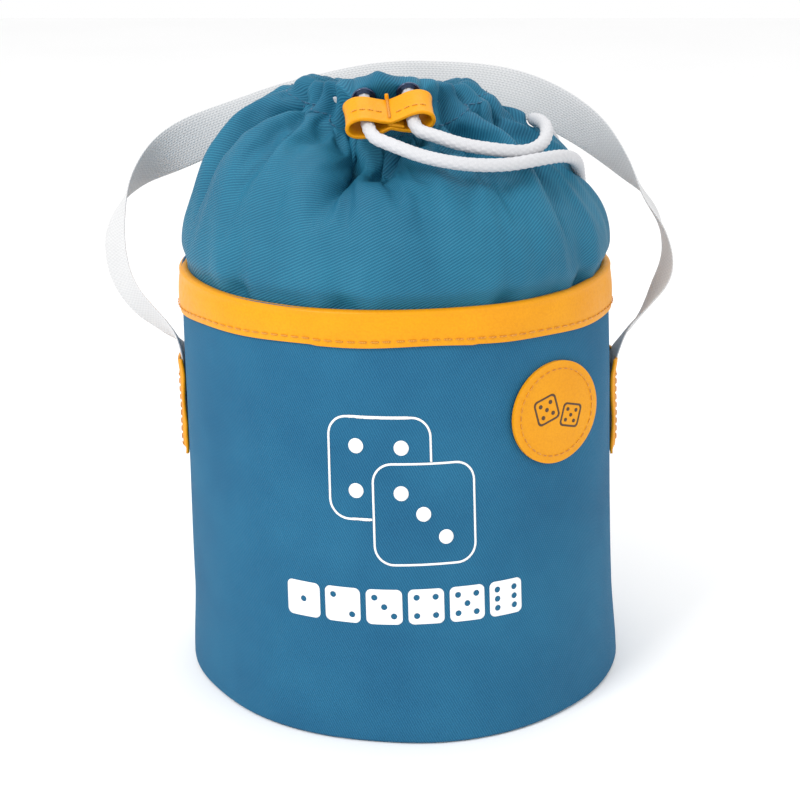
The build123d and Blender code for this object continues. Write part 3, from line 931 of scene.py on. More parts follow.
# ---------------------------------------------------------------- collar
# outlines of the gathered collar at four angles round the bag: the dome, from the rim up to
# the neck, then the hem, up over its lip and down inside; each point is (radius, height)
COLLAR_OUTLINES = {
    0: (
        [
            (88.6, 166), (88.6, 182), (91.6, 189), (90, 200), (85, 211),
            (78, 220), (70, 227), (60, 232), (48, 236), (38, 242),
        ],
        [
            (38, 242), (35.0, 249), (37.6, 255), (40.0, 260), (39.0, 263),
            (35, 264), (31, 260), (28.5, 251), (28, 244),
        ],
    ),
    90: (
        [
            (88.6, 166), (88.6, 182), (92.0, 190), (90.5, 202), (83.5, 215),
            (75.5, 227), (64.5, 237.5), (54, 245), (45.5, 250.5), (40, 253.5),
        ],
        [(40, 253.5), (37.5, 255.5), (34.5, 257), (31.5, 257), (29, 254.5), (28, 250), (27.5, 244)],
    ),
    180: (
        [
            (88.6, 166), (88.6, 182), (91.5, 190), (89, 203), (80.5, 217),
            (69, 228.5), (57.5, 236.5), (47.5, 243), (40, 247),
        ],
        [(40, 247), (37.5, 250), (34.5, 251.8), (31.5, 251.6), (29, 249), (28, 246), (27.5, 242)],
    ),
    270: (
        [
            (88.6, 166), (88.6, 182), (91.2, 190), (87.3, 206), (78, 228),
            (64.5, 244), (52.5, 251), (43, 254.7), (40, 255.8),
        ],
        [(40, 255.8), (37, 258), (34, 259.3), (31.5, 259), (29, 256), (28, 251), (27.5, 244)],
    ),
}
AROUND = 208                # columns of cloth round the collar
DOME_ROWS = 50
HEM_ROWS = 22
PLEATS = 21
PLEAT_DEPTH = 4.4
TUBE_RADIUS = 90.5
FOOT_TO_NECK = 104.0        # along the cloth, from its foot to the hem
FOOT_HEIGHT = 166.0
HELD_FOOT_ROWS = 6
FLAT_AROUND = 2 * math.pi * TUBE_RADIUS
PUFF = 40.0                 # air pressure that fills the cloth out
PUFF_STEPS = 56
DRAW_SHARE = 0.6            # share of the steps in which the hem is drawn in
# creases of the gathered cloth, each from near the neck down towards the rim: angle in
# degrees, share of the climb and depth at its two ends, then half its width in millimetres
CREASES = [
    ((-30, 0.98, 2.5), (-36, 0.55, 0.8), 5.0),
    ((41, 0.98, 3.0), (46, 0.62, 0.8), 4.0),
    ((163, 0.97, 3.0), (169, 0.42, 1.0), 5.0),
    ((-43, 0.42, 0.3), (-44, 0.15, 3.2), 5.0),
    ((-14, 0.40, 0.3), (-13, 0.15, 3.0), 5.0),
    ((30, 0.34, 0.2), (29, 0.15, 2.2), 4.0),
    ((58, 0.40, 0.3), (58, 0.15, 3.2), 5.0),
    ((102, 0.36, 0.2), (103, 0.15, 2.6), 5.0),
    ((150, 0.40, 0.2), (148, 0.15, 3.0), 5.0),
    ((-120, 0.38, 0.2), (-121, 0.15, 3.0), 5.0),
    ((-170, 0.34, 0.2), (-171, 0.15, 2.4), 5.0),
]
# folds that lap: as a crease, but the cloth drops at the line and comes back over a run on
# the side away from the front; the last two values are the drop's and the run's widths
LAPS = [
    ((-61, 0.98, 8.0), (-73, 0.22, 3.0), 2.5, 15.0),
    ((54, 0.88, 7.5), (50, 0.26, 3.0), 4.0, 20.0),
    ((-108, 0.97, 6.5), (-100, 0.30, 2.0), 3.0, 16.0),
    ((104, 0.97, 6.5), (112, 0.30, 2.0), 4.0, 17.0),
    ((-150, 0.97, 6.0), (-158, 0.30, 2.0), 4.0, 16.0),
    ((136, 0.97, 6.0), (128, 0.32, 2.0), 4.0, 16.0),
]
DOME_MIDDLE = 190.0         # height of the point that the dome bulges away from
GROOVE_SLOPE = 0.9          # how steeply the cloth rises again beside a cord
GROOVE_REACH = 30.0         # and how far from the cord that slope is followed
RIDGE_PERCENTILE = 88       # the outlines follow the folds' ridges, this high among the columns
NECK_TIGHTER = 2.6          # the pleats' valleys draw the neck in by this
SEAM_TUCK = (-6.5, 2.6, 4.0)     # angle, height and half width of the hem's tuck between the eyelets
KEPT_WAVES = 3              # the dome's plain shape: this many waves round the bag
HOLLOW = (-10.0, 0.79, 11.0)      # angle, share of the climb and depth of the hollow below the slider
HOLLOW_REACH = (19.0, 13.0)      # its half sizes round the bag and up the dome
CASING_SINK = 1.5           # the hidden drawcord lies this far below the middle of the hem
FRONT_INSET = 3.0           # and deeper in the hem beside the eyelets


def collar_outline():
    """Radius and height for each row and column of the collar's cloth."""
    turn = np.linspace(math.pi, 3 * math.pi, AROUND, endpoint=False)
    shapes = {}
    for degrees, (dome, hem) in COLLAR_OUTLINES.items():
        shapes[degrees] = np.vstack([catmull(dome, DOME_ROWS)[:-1], catmull(hem, HEM_ROWS)])
    radius_height = 0
    for degrees, shape in shapes.items():
        gap = np.abs((turn - math.radians(degrees) + math.pi) % (2 * math.pi) - math.pi)
        share = np.where(gap < math.pi / 2, np.cos(gap) ** 2, 0.0)
        radius_height = radius_height + shape[:, None, :] * share[None, :, None]
    return turn, radius_height[..., 0], radius_height[..., 1]


def pleats(turn):
    """The gathers' folds round the neck: round ridges, sharp valleys, unevenly spaced."""
    wander = 0.9 * np.sin(2 * turn + 0.4) + 0.7 * np.sin(3 * turn + 2.0) + 0.5 * np.sin(5 * turn + 4.1)
    phase = PLEATS * turn + wander
    fold = 2 * np.abs(np.cos(phase / 2)) ** 0.85 - 1
    uneven = 0.8 + 0.2 * np.sin(4 * turn + 1.0) + 0.12 * np.sin(7 * turn)
    return fold * uneven


def collar_start():
    """The gathered collar before it is puffed out: rows from the foot to inside the neck."""
    turn, radius, height = collar_outline()
    rows = radius.shape[0]
    share = np.arange(rows) / (DOME_ROWS - 1)
    toward_neck = smooth(share, 0.2, 1.0)[:, None]
    centre_x = lean(RIM_HEIGHT) * (1 - toward_neck) + NECK_CENTRE[0] * toward_neck
    centre_y = NECK_CENTRE[1] * toward_neck
    fold = pleats(turn)[None, :]
    gather = smooth(share, 0.45, 1.0)[:, None] ** 1.6
    inside = smooth(share, 1.12, 1.38)[:, None]
    front = np.cos(np.clip(turn_gap(turn) * 2.2, 0, math.pi / 2))[None, :] ** 2
    calm = 1 - 0.85 * front * smooth(share, 0.7, 0.95)[:, None]
    radius = radius - NECK_TIGHTER * smooth(share, 0.55, 0.95)[:, None] * calm
    radius = radius + fold * PLEAT_DEPTH * gather * (1 - 0.75 * inside) * calm
    tuck_turn, tuck_height, tuck_width = SEAM_TUCK
    tuck = np.exp(-((turn_gap(turn, math.radians(tuck_turn)) * 35.0 / tuck_width) ** 2))[None, :]
    tuck = tuck * (smooth(share, 1.02, 1.12) * (1 - smooth(share, 1.2, 1.32)))[:, None]
    radius = radius + 0.5 * tuck_height * tuck
    height = height + tuck_height * tuck
    height = height + fold * 1.3 * smooth(share, 0.95, 1.15)[:, None] * (1 - inside) * calm
    x = centre_x + radius * np.sin(turn)[None, :]
    y = centre_y - radius * np.cos(turn)[None, :]
    return turn, share, np.stack([x, y, height], axis=-1)


def press_below_slider(points, clearance):
    """Presses the collar down where the slider and its travel lie."""
    local = points - SLIDER_CENTRE
    w = local @ across
    h = local @ proud
    a = local @ along
    inside = (1 - smooth(np.abs(w), 16.5, 30.0)) * smooth(a, -10.5, -6.0) * (1 - smooth(a, 26.0, 46.0))
    ceiling = -5.3 - clearance
    excess = np.clip(h - ceiling, 0, None)
    return points - proud * (excess * inside)[..., None]


def back_eyelets(points, share):
    """Lays the hem flat against the backs of the two eyelets."""
    local = points - channel(0, -14.0)
    w, h, a = local @ across, local @ proud, local @ along
    in_hem = ((share > 0.95) & (share < 1.22))[:, None]
    spot = (1 - smooth(np.abs(w), 13.0, 21.0)) * (1 - smooth(np.abs(h), 5.0, 9.5)) * in_hem
    return points - along * ((a + 0.25) * spot)[..., None]


def sink_below(points, line, keep):
    """Sinks the cloth towards the dome's middle until a line on it clears it, with sloping sides."""
    middle = np.array([float(lean(RIM_HEIGHT)), 0.0, DOME_MIDDLE])
    flat = points.reshape(-1, 3) - middle
    distance = np.linalg.norm(flat, axis=1)
    way = unit(flat)
    target = line - middle
    above = way @ target.T
    beside = np.sqrt(np.maximum(np.sum(target**2, axis=1)[None, :] - above**2, 0))
    round_part = np.sqrt(np.maximum(keep**2 - beside**2, 0))
    limit = np.where(beside < keep, above - round_part, above + GROOVE_SLOPE * (beside - keep))
    limit = np.where((above > 0) & (beside < GROOVE_REACH), limit, np.inf).min(axis=1)
    kept = np.minimum(distance, limit)
    return (middle + way * kept[:, None]).reshape(points.shape)


def plain_shape(points):
    """The rows' shapes without their folds: only their first few waves round the bag."""
    waves = np.fft.rfft(points, axis=1)
    waves[:, KEPT_WAVES + 1:] = 0
    return np.fft.irfft(waves, points.shape[1], axis=1)


def outward(points):
    """Directions out of the dome, from a point low in its middle."""
    return unit(points - np.array([float(lean(RIM_HEIGHT)), 0.0, DOME_MIDDLE]))


def press_creases(points, turn, share):
    """Presses the long creases and the hollow below the slider into the dome."""
    radius = np.hypot(points[..., 0], points[..., 1])
    climb = FOOT_TO_NECK * share[:, None]
    moved = np.zeros(points.shape[:2])
    for (turn_a, share_a, depth_a), (turn_b, share_b, depth_b), width in CREASES:
        way = np.clip((share[:, None] - share_b) / (share_a - share_b), 0, 1)
        beyond = np.maximum(share[:, None] - share_a, 0) + np.maximum(share_b - share[:, None], 0)
        middle = np.radians(turn_b + (turn_a - turn_b) * way)
        gap = turn_gap(turn[None, :], middle) * radius
        depth = (depth_b + (depth_a - depth_b) * way) * (1 - smooth(beyond, 0, 0.08))
        valley = np.exp(-((gap / width) ** 2)) - 0.35 * np.exp(-(((gap - 2 * width) / width) ** 2))
        moved = moved + depth * valley
    for (turn_a, share_a, depth_a), (turn_b, share_b, depth_b), drop, run in LAPS:
        way = np.clip((share[:, None] - share_b) / (share_a - share_b), 0, 1)
        beyond = np.maximum(share[:, None] - share_a, 0) + np.maximum(share_b - share[:, None], 0)
        middle = np.radians(turn_b + (turn_a - turn_b) * way)
        signed = (turn[None, :] - middle + math.pi) % (2 * math.pi) - math.pi
        away = signed * radius * math.copysign(1.0, turn_a)
        depth = (depth_b + (depth_a - depth_b) * way) * (1 - smooth(beyond, 0, 0.08))
        back = np.exp(-((np.maximum(away, 0) / run) ** 2))
        moved = moved + depth * smooth(away, -drop / 2, drop / 2) * back
    around, high, deep = HOLLOW
    side = turn_gap(turn[None, :], math.radians(around)) * radius / HOLLOW_REACH[0]
    up = (climb - FOOT_TO_NECK * high) / HOLLOW_REACH[1]
    moved = moved + deep * np.exp(-(side**2 + up**2))
    return points - outward(points) * moved[..., None]


def puff_out(piece, gathered, held, steps):
    """Cloth simulation: the tube of cloth is drawn in at the hem while air fills it out."""
    piece.shape_key_add(name="Basis")
    drawn_in = piece.shape_key_add(name="drawn_in")
    drawn_in.data.foreach_set("co", (gathered.reshape(-1, 3) * MM).astype(np.float32).ravel())
    for step, share in ((1, 0.0), (int(steps * DRAW_SHARE), 1.0)):
        drawn_in.value = share
        drawn_in.keyframe_insert("value", frame=step)
    group = piece.vertex_groups.new(name="held")
    group.add(np.flatnonzero(held.ravel()).tolist(), 1.0, "REPLACE")
    cloth = piece.modifiers.new("cloth", "CLOTH")
    settings = cloth.settings
    settings.vertex_group_mass = "held"
    settings.quality = 6
    settings.mass = 0.05
    settings.air_damping = 1.0
    settings.tension_stiffness = 15
    settings.compression_stiffness = 15
    settings.shear_stiffness = 5
    settings.bending_stiffness = 5.0
    settings.tension_damping = 1.0
    settings.compression_damping = 1.0
    settings.shear_damping = 1.0
    settings.bending_damping = 0.5
    settings.use_pressure = True
    settings.uniform_pressure_force = PUFF
    settings.effector_weights.gravity = 0
    cloth.collision_settings.use_collision = False
    cloth.collision_settings.use_self_collision = False
    cloth.point_cache.frame_start = 1
    cloth.point_cache.frame_end = steps
    for step in range(1, steps + 1):
        scene.frame_set(step)
    graph = bpy.context.evaluated_depsgraph_get()
    settled = piece.evaluated_get(graph).to_mesh()
    points = np.empty(len(settled.vertices) * 3, np.float32)
    settled.vertices.foreach_get("co", points)
    piece.modifiers.clear()
    piece.shape_key_clear()
    scene.frame_set(1)
    return points.astype(float).reshape(-1, 3) / MM


def set_points(piece, points):
    piece.data.vertices.foreach_set("co", (points.reshape(-1, 3) * MM).astype(np.float32).ravel())
    piece.data.update()


def build_collar():
    turn, share, start = collar_start()
    meridian = np.linalg.norm(np.diff(start, axis=0), axis=2).mean(axis=1)
    climb = np.concatenate([[0], np.cumsum(meridian)])
    uv = np.stack(
        np.broadcast_arrays(np.linspace(0, FLAT_AROUND, AROUND + 1)[None, :], climb[:, None]), axis=-1
    )
    start = back_eyelets(press_below_slider(start, 1.0), share)
    cut = np.stack(
        np.broadcast_arrays(
            lean(RIM_HEIGHT) + TUBE_RADIUS * np.sin(turn)[None, :],
            -TUBE_RADIUS * np.cos(turn)[None, :],
            FOOT_HEIGHT + climb[:, None],
        ),
        axis=-1,
    )
    piece = grid("gathered_collar", cut, uv, closed=True)
    held = np.zeros(start.shape[:2])
    held[share * (DOME_ROWS - 1) <= HELD_FOOT_ROWS] = 1.0
    held[share >= 0.97] = 1.0
    puffed = puff_out(piece, start, held, PUFF_STEPS).reshape(start.shape)
    folds = (0.25 + 0.75 * smooth(share, 0.3, 0.85))[:, None, None]
    folds = (puffed - plain_shape(puffed)) * folds
    out = outward(start)
    ridges = np.percentile(np.sum(folds * out, axis=-1), RIDGE_PERCENTILE, axis=1)
    points = plain_shape(start) + folds - out * ridges[:, None, None]
    points = press_creases(points, turn, share)
    for line in tail_lines.values():
        points = sink_below(points, line[::6], CORD / 2 + 1.2)
    points = sink_below(points, strap_line[strap_line[:, 2] > 215.0][::4], STRAP_WIDTH / 2 + 1.5)
    points = press_below_slider(points, 1.0)
    set_points(piece, points)
    return piece, points, turn, climb


collar_piece, collar_points, collar_turn, collar_climb = build_collar()
subdivide(collar_piece)
thicken(collar_piece, 0.7, even=False)
finish_piece(collar_piece, "bag", collar_cloth, "collar_cloth", "collar", "hem_casing")


def hem_seam():
    """Stitches round the neck, where the hem is turned over the drawcord."""
    row = DOME_ROWS - 2
    closed = list(range(AROUND)) + [0]
    around = np.roll(collar_points[row], -1, axis=0) - np.roll(collar_points[row], 1, axis=0)
    out = unit(np.cross(around, collar_points[row + 1] - collar_points[row - 1]))
    return stitch_row(
        "hem_seam",
        collar_points[row][closed],
        out[closed],
        3.4,
        2.5,
        0.5,
        "bag",
        blue_thread,
        "collar_cloth",
        sink=0.1,
    )


def casing_cord():
    """The drawcord's hidden length: inside the hem, from one eyelet round the back to the other."""
    ring = collar_points[DOME_ROWS:].mean(axis=0) - (0, 0, CASING_SINK)
    for _ in range(2):
        ring = (np.roll(ring, 1, axis=0) + ring + np.roll(ring, -1, axis=0)) / 3
    front = 1 - smooth(turn_gap(collar_turn), math.radians(26), math.radians(50))[:, None]
    centre = np.array([*NECK_CENTRE, 0.0])
    ring = ring - unit((ring - centre) * (1, 1, 0)) * FRONT_INSET * front
    from_front = np.argsort(collar_turn % (2 * math.pi))
    hidden = turn_gap(collar_turn[from_front]) > math.radians(21)
    behind = ring[from_front][hidden][::3]
    route = np.vstack([channel(1, -16.5), channel(1, -20.0), behind, channel(-1, -20.0), channel(-1, -16.5)])
    piece = braided("casing_cord", catmull(route, 480), CORD / 2)
    return finish_piece(piece, "bag", braid, "cord_braid", "drawcord_loop")


seam_round_neck = hem_seam()
casing_cord()

# ---------------------------------------------------------------- wall and base
def turned(name, outline, columns=240):
    """A closed leaning shell from (out of the wall, height) corners, right round the bag."""
    turn = np.linspace(math.pi, 3 * math.pi, columns, endpoint=False)
    outline = np.asarray(outline, float)
    points = np.array([wall_point(turn, np.full(columns, z), out) for out, z in outline])
    reach = np.concatenate([[0], np.cumsum(np.linalg.norm(np.diff(outline, axis=0), axis=1))])
    u = np.linspace(0, 2 * math.pi, columns + 1) * BASE_RADIUS
    uv = np.stack(np.broadcast_arrays(u[None, :], reach[:, None]), axis=-1)
    return grid(name, points, uv, closed=True)


def disc(name, radius, low, high, rings=24, columns=120):
    """A flat leaning disc with rounded rim, from low to high."""
    turn = np.linspace(0, 2 * math.pi, columns, endpoint=False)
    middle = (low + high) / 2
    radii = [0.02, *np.linspace(radius / rings, radius - 0.3, rings), radius, radius]
    heights = [high] * (rings + 1) + [high - 0.15, middle]
    radii = radii + radii[::-1]
    heights = heights + [2 * middle - h for h in heights[::-1]]
    rows = [
        np.stack([BASE_LEAN + r * np.sin(turn), -r * np.cos(turn), np.full(columns, h)], axis=1)
        for r, h in zip(radii, heights)
    ]
    rows = np.array(rows)
    uv = rows[:, list(range(columns)) + [0], :2]
    return grid(name, rows, uv, closed=True)


def lower_wall():
    """Outline of the outer cloth from the rim down, round the bottom fold and in to the panel."""
    straight = [(0.0, z) for z in np.linspace(RIM_HEIGHT, BASE_FOLD, 72)]
    bend = []
    for angle in np.linspace(0, math.pi / 2, 10)[1:]:
        bend.append((-BASE_FOLD * (1 - math.cos(angle)), BASE_FOLD * (1 - math.sin(angle))))
    inwards = [(PANEL_RADIUS - BASE_RADIUS + 0.2, 0.0)]
    return straight + bend + inwards


wall_piece = thicken(turned("printed_wall", lower_wall()[::-1], 300), CLOTH)
finish_piece(wall_piece, "bag", body_cloth, "body_cloth", "outer_wall")

SHELLS = [
    ("foam_layer", -CLOTH - 1.0, -CLOTH, padding_foam, "padding_foam", "wall_padding"),
    ("lining_layer", -CLOTH - 1.5, -CLOTH - 1.0, lining_cloth, "lining_cloth", "wall_lining"),
]
for name, inner, outer, material, slot, node in SHELLS:
    low, high = 8.0, 163.0
    heights = np.linspace(low, high, 40)
    ring = [(outer, z) for z in heights] + [(inner, z) for z in heights[::-1]] + [(outer, low)]
    finish_piece(turned(name, ring), "bag", material, slot, node)

base_piece = disc("base_cloth", PANEL_RADIUS - 0.2, 0.0, CLOTH)
finish_piece(base_piece, "bag", body_cloth, "body_cloth", "base_panel")
finish_piece(disc("stiff_board", 85.6, 1.0, 3.4), "bag", base_board_face, "base_board", "base_board")
finish_piece(disc("floor_lining", 85.6, 3.4, 3.9), "bag", lining_cloth, "lining_cloth", "base_lining")

# ---------------------------------------------------------------- rim binding
JOIN_TURN = math.radians(20)


def binding_low(turn):
    """Lower edge of the binding: narrower in front, with a small step where its ends lap."""
    front = np.clip(np.cos(turn), 0, 1)
    step = 0.8 * smooth(turn_gap(turn, JOIN_TURN - 0.35), 0.33, 0.36) - 0.4
    return 162.8 + 4.9 * front**1.4 + 0.35 * np.sin(6 * turn + 0.5) + 0.25 * np.sin(11 * turn) + 0.5 * step


def binding_top(turn):
    return 181.6 + 0.5 * np.sin(turn) + 0.3 * np.sin(5 * turn + 1.0)


def binding():
    """A folded strip of synthetic leather over the rim, pillowed between its edges."""
    columns = 420
    turn = np.linspace(0, 2 * math.pi, columns, endpoint=False)
    low, top = binding_low(turn), binding_top(turn)
    rows = []
    reach = []
    for share in np.linspace(0, 1, 15):
        out = 1.05 + 0.55 * math.sin(math.pi * min(1.0, share * 1.15)) ** 0.7
        rows.append((low + (top - 1.6 - low) * share, np.full(columns, out)))
        reach.append(share * 16)
    for angle in np.linspace(0, math.pi, 11)[1:-1]:
        out = -1.15 + 2.3 * math.cos(angle) + 0.1
        rows.append((top - 1.6 + 1.6 * math.sin(angle), np.full(columns, out)))
        reach.append(16 + angle * 1.6)
    for share in np.linspace(0, 1, 8):
        rows.append((top - 1.6 + (low - top + 1.6) * share, np.full(columns, -3.4)))
        reach.append(21 + share * 16)
    for share in np.linspace(0, 1, 8):
        rows.append((low + (top - 2.6 - low) * share, np.full(columns, -2.5)))
        reach.append(37 + share * 16)
    for share in np.linspace(0, 1, 8):
        rows.append((top - 2.6 + (low - top + 2.6) * share, np.full(columns, 0.06)))
        reach.append(55 + share * 16)
    rows.append((low, np.full(columns, 1.05)))
    reach.append(72)
    points = np.array([wall_point(turn, z, out) for z, out in rows])
    u = np.linspace(0, 2 * math.pi, columns + 1) * RIM_RADIUS
    uv = np.stack(np.broadcast_arrays(u[None, :], np.array(reach)[:, None]), axis=-1)
    strip = grid("yellow_binding", points, uv, closed=True)
    return strip


binding_piece = binding()
finish_piece(binding_piece, "bag", yellow_pu, "yellow_leather", "rim_binding")

seam_turn = np.linspace(0, 2 * math.pi, 1200)
seam_height = binding_low(seam_turn) + 2.6
binding_seam = wall_point(seam_turn, seam_height, 1.56)
seam_out = np.stack([np.sin(seam_turn), -np.cos(seam_turn), np.zeros(len(seam_turn))], axis=1)
stitch_row("binding_seam", binding_seam, seam_out, 4.6, 3.2, 0.6, "bag", yellow_thread, sink=0.08)

# ---------------------------------------------------------------- tabs
TAB_WIDTH = 24.0
TAB_LOW = 96.0
TAB_HIGH = 139.0
TAB_THICK = 1.1


def tab(name, side):
    """A leather tab over a strap end, sewn to the wall, its edges a little wavy."""
    columns, rows = 25, 49
    wide = np.linspace(-TAB_WIDTH / 2, TAB_WIDTH / 2, columns)
    heights = np.linspace(TAB_LOW, TAB_HIGH, rows)
    w, z = np.meshgrid(wide, heights)
    turn = side * (math.pi / 2) + w / BASE_RADIUS
    over_strap = 1 - smooth(np.abs(w), STRAP_WIDTH / 2 - 0.5, TAB_WIDTH / 2)
    edge = smooth(np.abs(w), TAB_WIDTH / 2 - 2.5, TAB_WIDTH / 2)
    lift = 0.12 + 1.35 * over_strap * smooth(z, 97, 101)
    wave = 0.3 * edge * (1 + np.sin(z / 4.3 + side)) + 0.15 * np.sin(z / 7 + w / 5)
    flare = (1.0 if side > 0 else 0.7) * smooth(z, TAB_HIGH - 9, TAB_HIGH) ** 1.5
    points = wall_point(turn, z, lift + np.abs(wave) + flare)
    piece = grid(name, points, np.stack([w, z], axis=-1))
    thicken(piece, TAB_THICK, offset=1.0)
    return piece, lift


def tab_seam(name, side):
    """A rectangle of stitches inside a tab's edge."""
    half, low, high = TAB_WIDTH / 2 - 2.6, TAB_LOW + 3.0, TAB_HIGH - 7.0
    corners = [(-half, low), (half, low), (half, high), (-half, high), (-half, low)]
    runs = [np.linspace(a, b, 60)[:-1] for a, b in zip(np.array(corners), np.array(corners[1:]))]
    path = np.vstack(runs)
    w, z = path[:, 0], path[:, 1]
    turn = side * (math.pi / 2) + w / BASE_RADIUS
    over_strap = 1 - smooth(np.abs(w), STRAP_WIDTH / 2 - 0.5, TAB_WIDTH / 2)
    edge = smooth(np.abs(w), TAB_WIDTH / 2 - 2.5, TAB_WIDTH / 2)
    lift = 0.12 + 1.35 * over_strap * smooth(z, 97, 101)
    wave = 0.3 * edge * (1 + np.sin(z / 4.3 + side)) + 0.15 * np.sin(z / 7 + w / 5)
    flare = (1.0 if side > 0 else 0.7) * smooth(z, TAB_HIGH - 9, TAB_HIGH) ** 1.5
    line = wall_point(turn, z, lift + np.abs(wave) + flare + TAB_THICK + 0.05)
    out = np.stack([np.sin(turn), -np.cos(turn), np.zeros(len(turn))], axis=1)
    stitch_row(name, line, out, 3.6, 2.6, 0.55, "bag", yellow_thread, sink=0.05)


for side, word in ((-1, "left"), (1, "right")):
    tab_piece, _ = tab(f"leather_tab_{word}", side)
    finish_piece(tab_piece, "bag", yellow_pu, "yellow_leather", f"strap_tab_{word}")
    tab_seam(f"tab_seam_{word}", side)

# ---------------------------------------------------------------- flat printed and cut shapes
def outline_mesh(name, outlines, slice_width=2.0):
    """A flat mesh filled inside closed outlines, with holes where outlines nest, cut in narrow slices."""
    curve = bpy.data.curves.new(name, "CURVE")
    curve.dimensions = "2D"
    curve.fill_mode = "BOTH"
    for outline in outlines:
        spline = curve.splines.new("POLY")
        spline.points.add(len(outline) - 1)
        for point, (x, y) in zip(spline.points, outline):
            point.co = (x, y, 0.0, 1.0)
        spline.use_cyclic_u = True
    holder = bpy.data.objects.new(name, curve)
    scene.collection.objects.link(holder)
    bpy.context.view_layer.update()
    graph = bpy.context.evaluated_depsgraph_get()
    mesh = bpy.data.meshes.new_from_object(holder.evaluated_get(graph))
    bpy.data.objects.remove(holder)
    bpy.data.curves.remove(curve)
    work = bmesh.new()
    work.from_mesh(mesh)
    bpy.data.meshes.remove(mesh)
    bmesh.ops.remove_doubles(work, verts=work.verts, dist=1e-4)
    xs = [v.co.x for v in work.verts]
    for x in np.arange(min(xs) + slice_width, max(xs), slice_width):
        everything = work.verts[:] + work.edges[:] + work.faces[:]
        bmesh.ops.bisect_plane(work, geom=everything, plane_co=(x, 0, 0), plane_no=(1, 0, 0))
    work.verts.ensure_lookup_table()
    points = np.array([v.co[:2] for v in work.verts])
    index = {v: i for i, v in enumerate(work.verts)}
    faces = []
    for f in work.faces:
        loop = [index[v] for v in f.verts]
        faces.append(loop if f.normal.z > 0 else loop[::-1])
    work.free()
    return points, faces


def on_wall(name, outlines, turn, z, out, thickness, slice_width=2.0):
    """Flat outlines wrapped onto the wall about a point, standing out of it."""
    flat, faces = outline_mesh(name, outlines, slice_width)
    radius = float(wall_radius(z))
    points = wall_point(turn + flat[:, 0] / radius, z + flat[:, 1], out)
    corners = [flat[i] for face in faces for i in face]
    piece = new_mesh(name, points, faces, np.array(corners) * MM)
    return thicken(piece, thickness, even=False)


def circle(x, y, radius, count=40):
    turn = np.linspace(0, 2 * math.pi, count, endpoint=False)
    return np.stack([x + radius * np.cos(turn), y + radius * np.sin(turn)], axis=1)


def rounded_square(x, y, half, corner, count=10):
    """Outline of a square with round corners, anticlockwise from its right side's foot."""
    points = []
    for sx, sy, start in ((1, -1, -90), (1, 1, 0), (-1, 1, 90), (-1, -1, 180)):
        centre = (x + sx * (half - corner), y + sy * (half - corner))
        for angle in np.radians(np.linspace(start, start + 90, count)):
            points.append((centre[0] + corner * math.cos(angle), centre[1] + corner * math.sin(angle)))
    return np.array(points)


def stroke(path, width):
    """Outline of a line of even width along an open path."""
    path = np.asarray(path, float)
    tangent = unit(np.gradient(path, axis=0))
    side = np.stack([-tangent[:, 1], tangent[:, 0]], axis=1) * width / 2
    return np.vstack([path + side, (path - side)[::-1]])


PRINT_OUT = 0.2
PRINT_THICK = 0.18
PRINT_STRETCH = 1.045       # the print is a little taller than wide
PRINT_MIDDLE = 100.0
DIE_HALF = 20.2
DIE_CORNER = 7.6
LINE = 0.85
PIP = 2.95
rear = np.array([-7.25, 117.5])
fore = np.array([10.05, 99.35])


def die_ring(centre):
    outer = rounded_square(*centre, DIE_HALF + LINE / 2, DIE_CORNER + LINE / 2)
    inner = rounded_square(*centre, DIE_HALF - LINE / 2, DIE_CORNER - LINE / 2)
    return outer, inner


def hidden_behind(points, centre):
    """True where a point lies inside a die's rounded square."""
    reach = np.abs(points - centre)
    core = np.clip(reach - (DIE_HALF - DIE_CORNER), 0, None)
    return np.linalg.norm(core, axis=1) < DIE_CORNER + LINE / 2 + 0.1


def rear_stroke():
    """The rear die's outline where the front die doesn't cover it."""
    ring = spaced(np.vstack([rounded_square(*rear, DIE_HALF, DIE_CORNER)] * 2), 800)
    shown = ~hidden_behind(ring, fore)
    starts = np.flatnonzero(shown[1:] & ~shown[:-1]) + 1
    first = starts[0]
    last = first + int(np.argmin(shown[first:]))
    return stroke(ring[first:last:3], LINE)


print_pieces = [
    ("print_rear_die", [rear_stroke()]),
    ("print_front_die", list(die_ring(fore))),
    ("print_rear_pips", [circle(*(rear + p), PIP) for p in ((-9.2, 8.9), (8.6, 8.4), (-9.6, -8.8))]),
    ("print_front_pips", [circle(*(fore + p), PIP) for p in ((-9.2, 8.6), (-0.6, 0.2), (8.2, -9.3))]),
]
ROW_HALF = 7.2
ROW_PITCH = 16.7
ROW_PIP = 1.25
ROW_HEIGHT = 61.9
PIP_SPOTS = {
    1: [(0, 0)],
    2: [(-1, 1), (1, -1)],
    3: [(-1, 1), (0, 0), (1, -1)],
    4: [(-1, -1), (-1, 1), (1, -1), (1, 1)],
    5: [(-1, -1), (-1, 1), (0, 0), (1, -1), (1, 1)],
    6: [(-1, -1), (-1, 0), (-1, 1), (1, -1), (1, 0), (1, 1)],
}
for value, spots in PIP_SPOTS.items():
    x = (value - 3.5) * ROW_PITCH + 1.2
    z = ROW_HEIGHT
    holes = [circle(x + sx * 3.8, z + sy * 3.8, ROW_PIP, 20) for sx, sy in spots]
    print_pieces.append((f"print_face_{value}", [rounded_square(x, z, ROW_HALF, 2.2, 6), *holes]))
for name, outlines in print_pieces:
    level_outlines = [(o - (0, PRINT_MIDDLE)) * (1, PRINT_STRETCH) for o in outlines]
    shape = on_wall(name, level_outlines, 0.0, PRINT_MIDDLE, PRINT_OUT, PRINT_THICK)
    finish_piece(shape, "bag", print_white, "print_white")

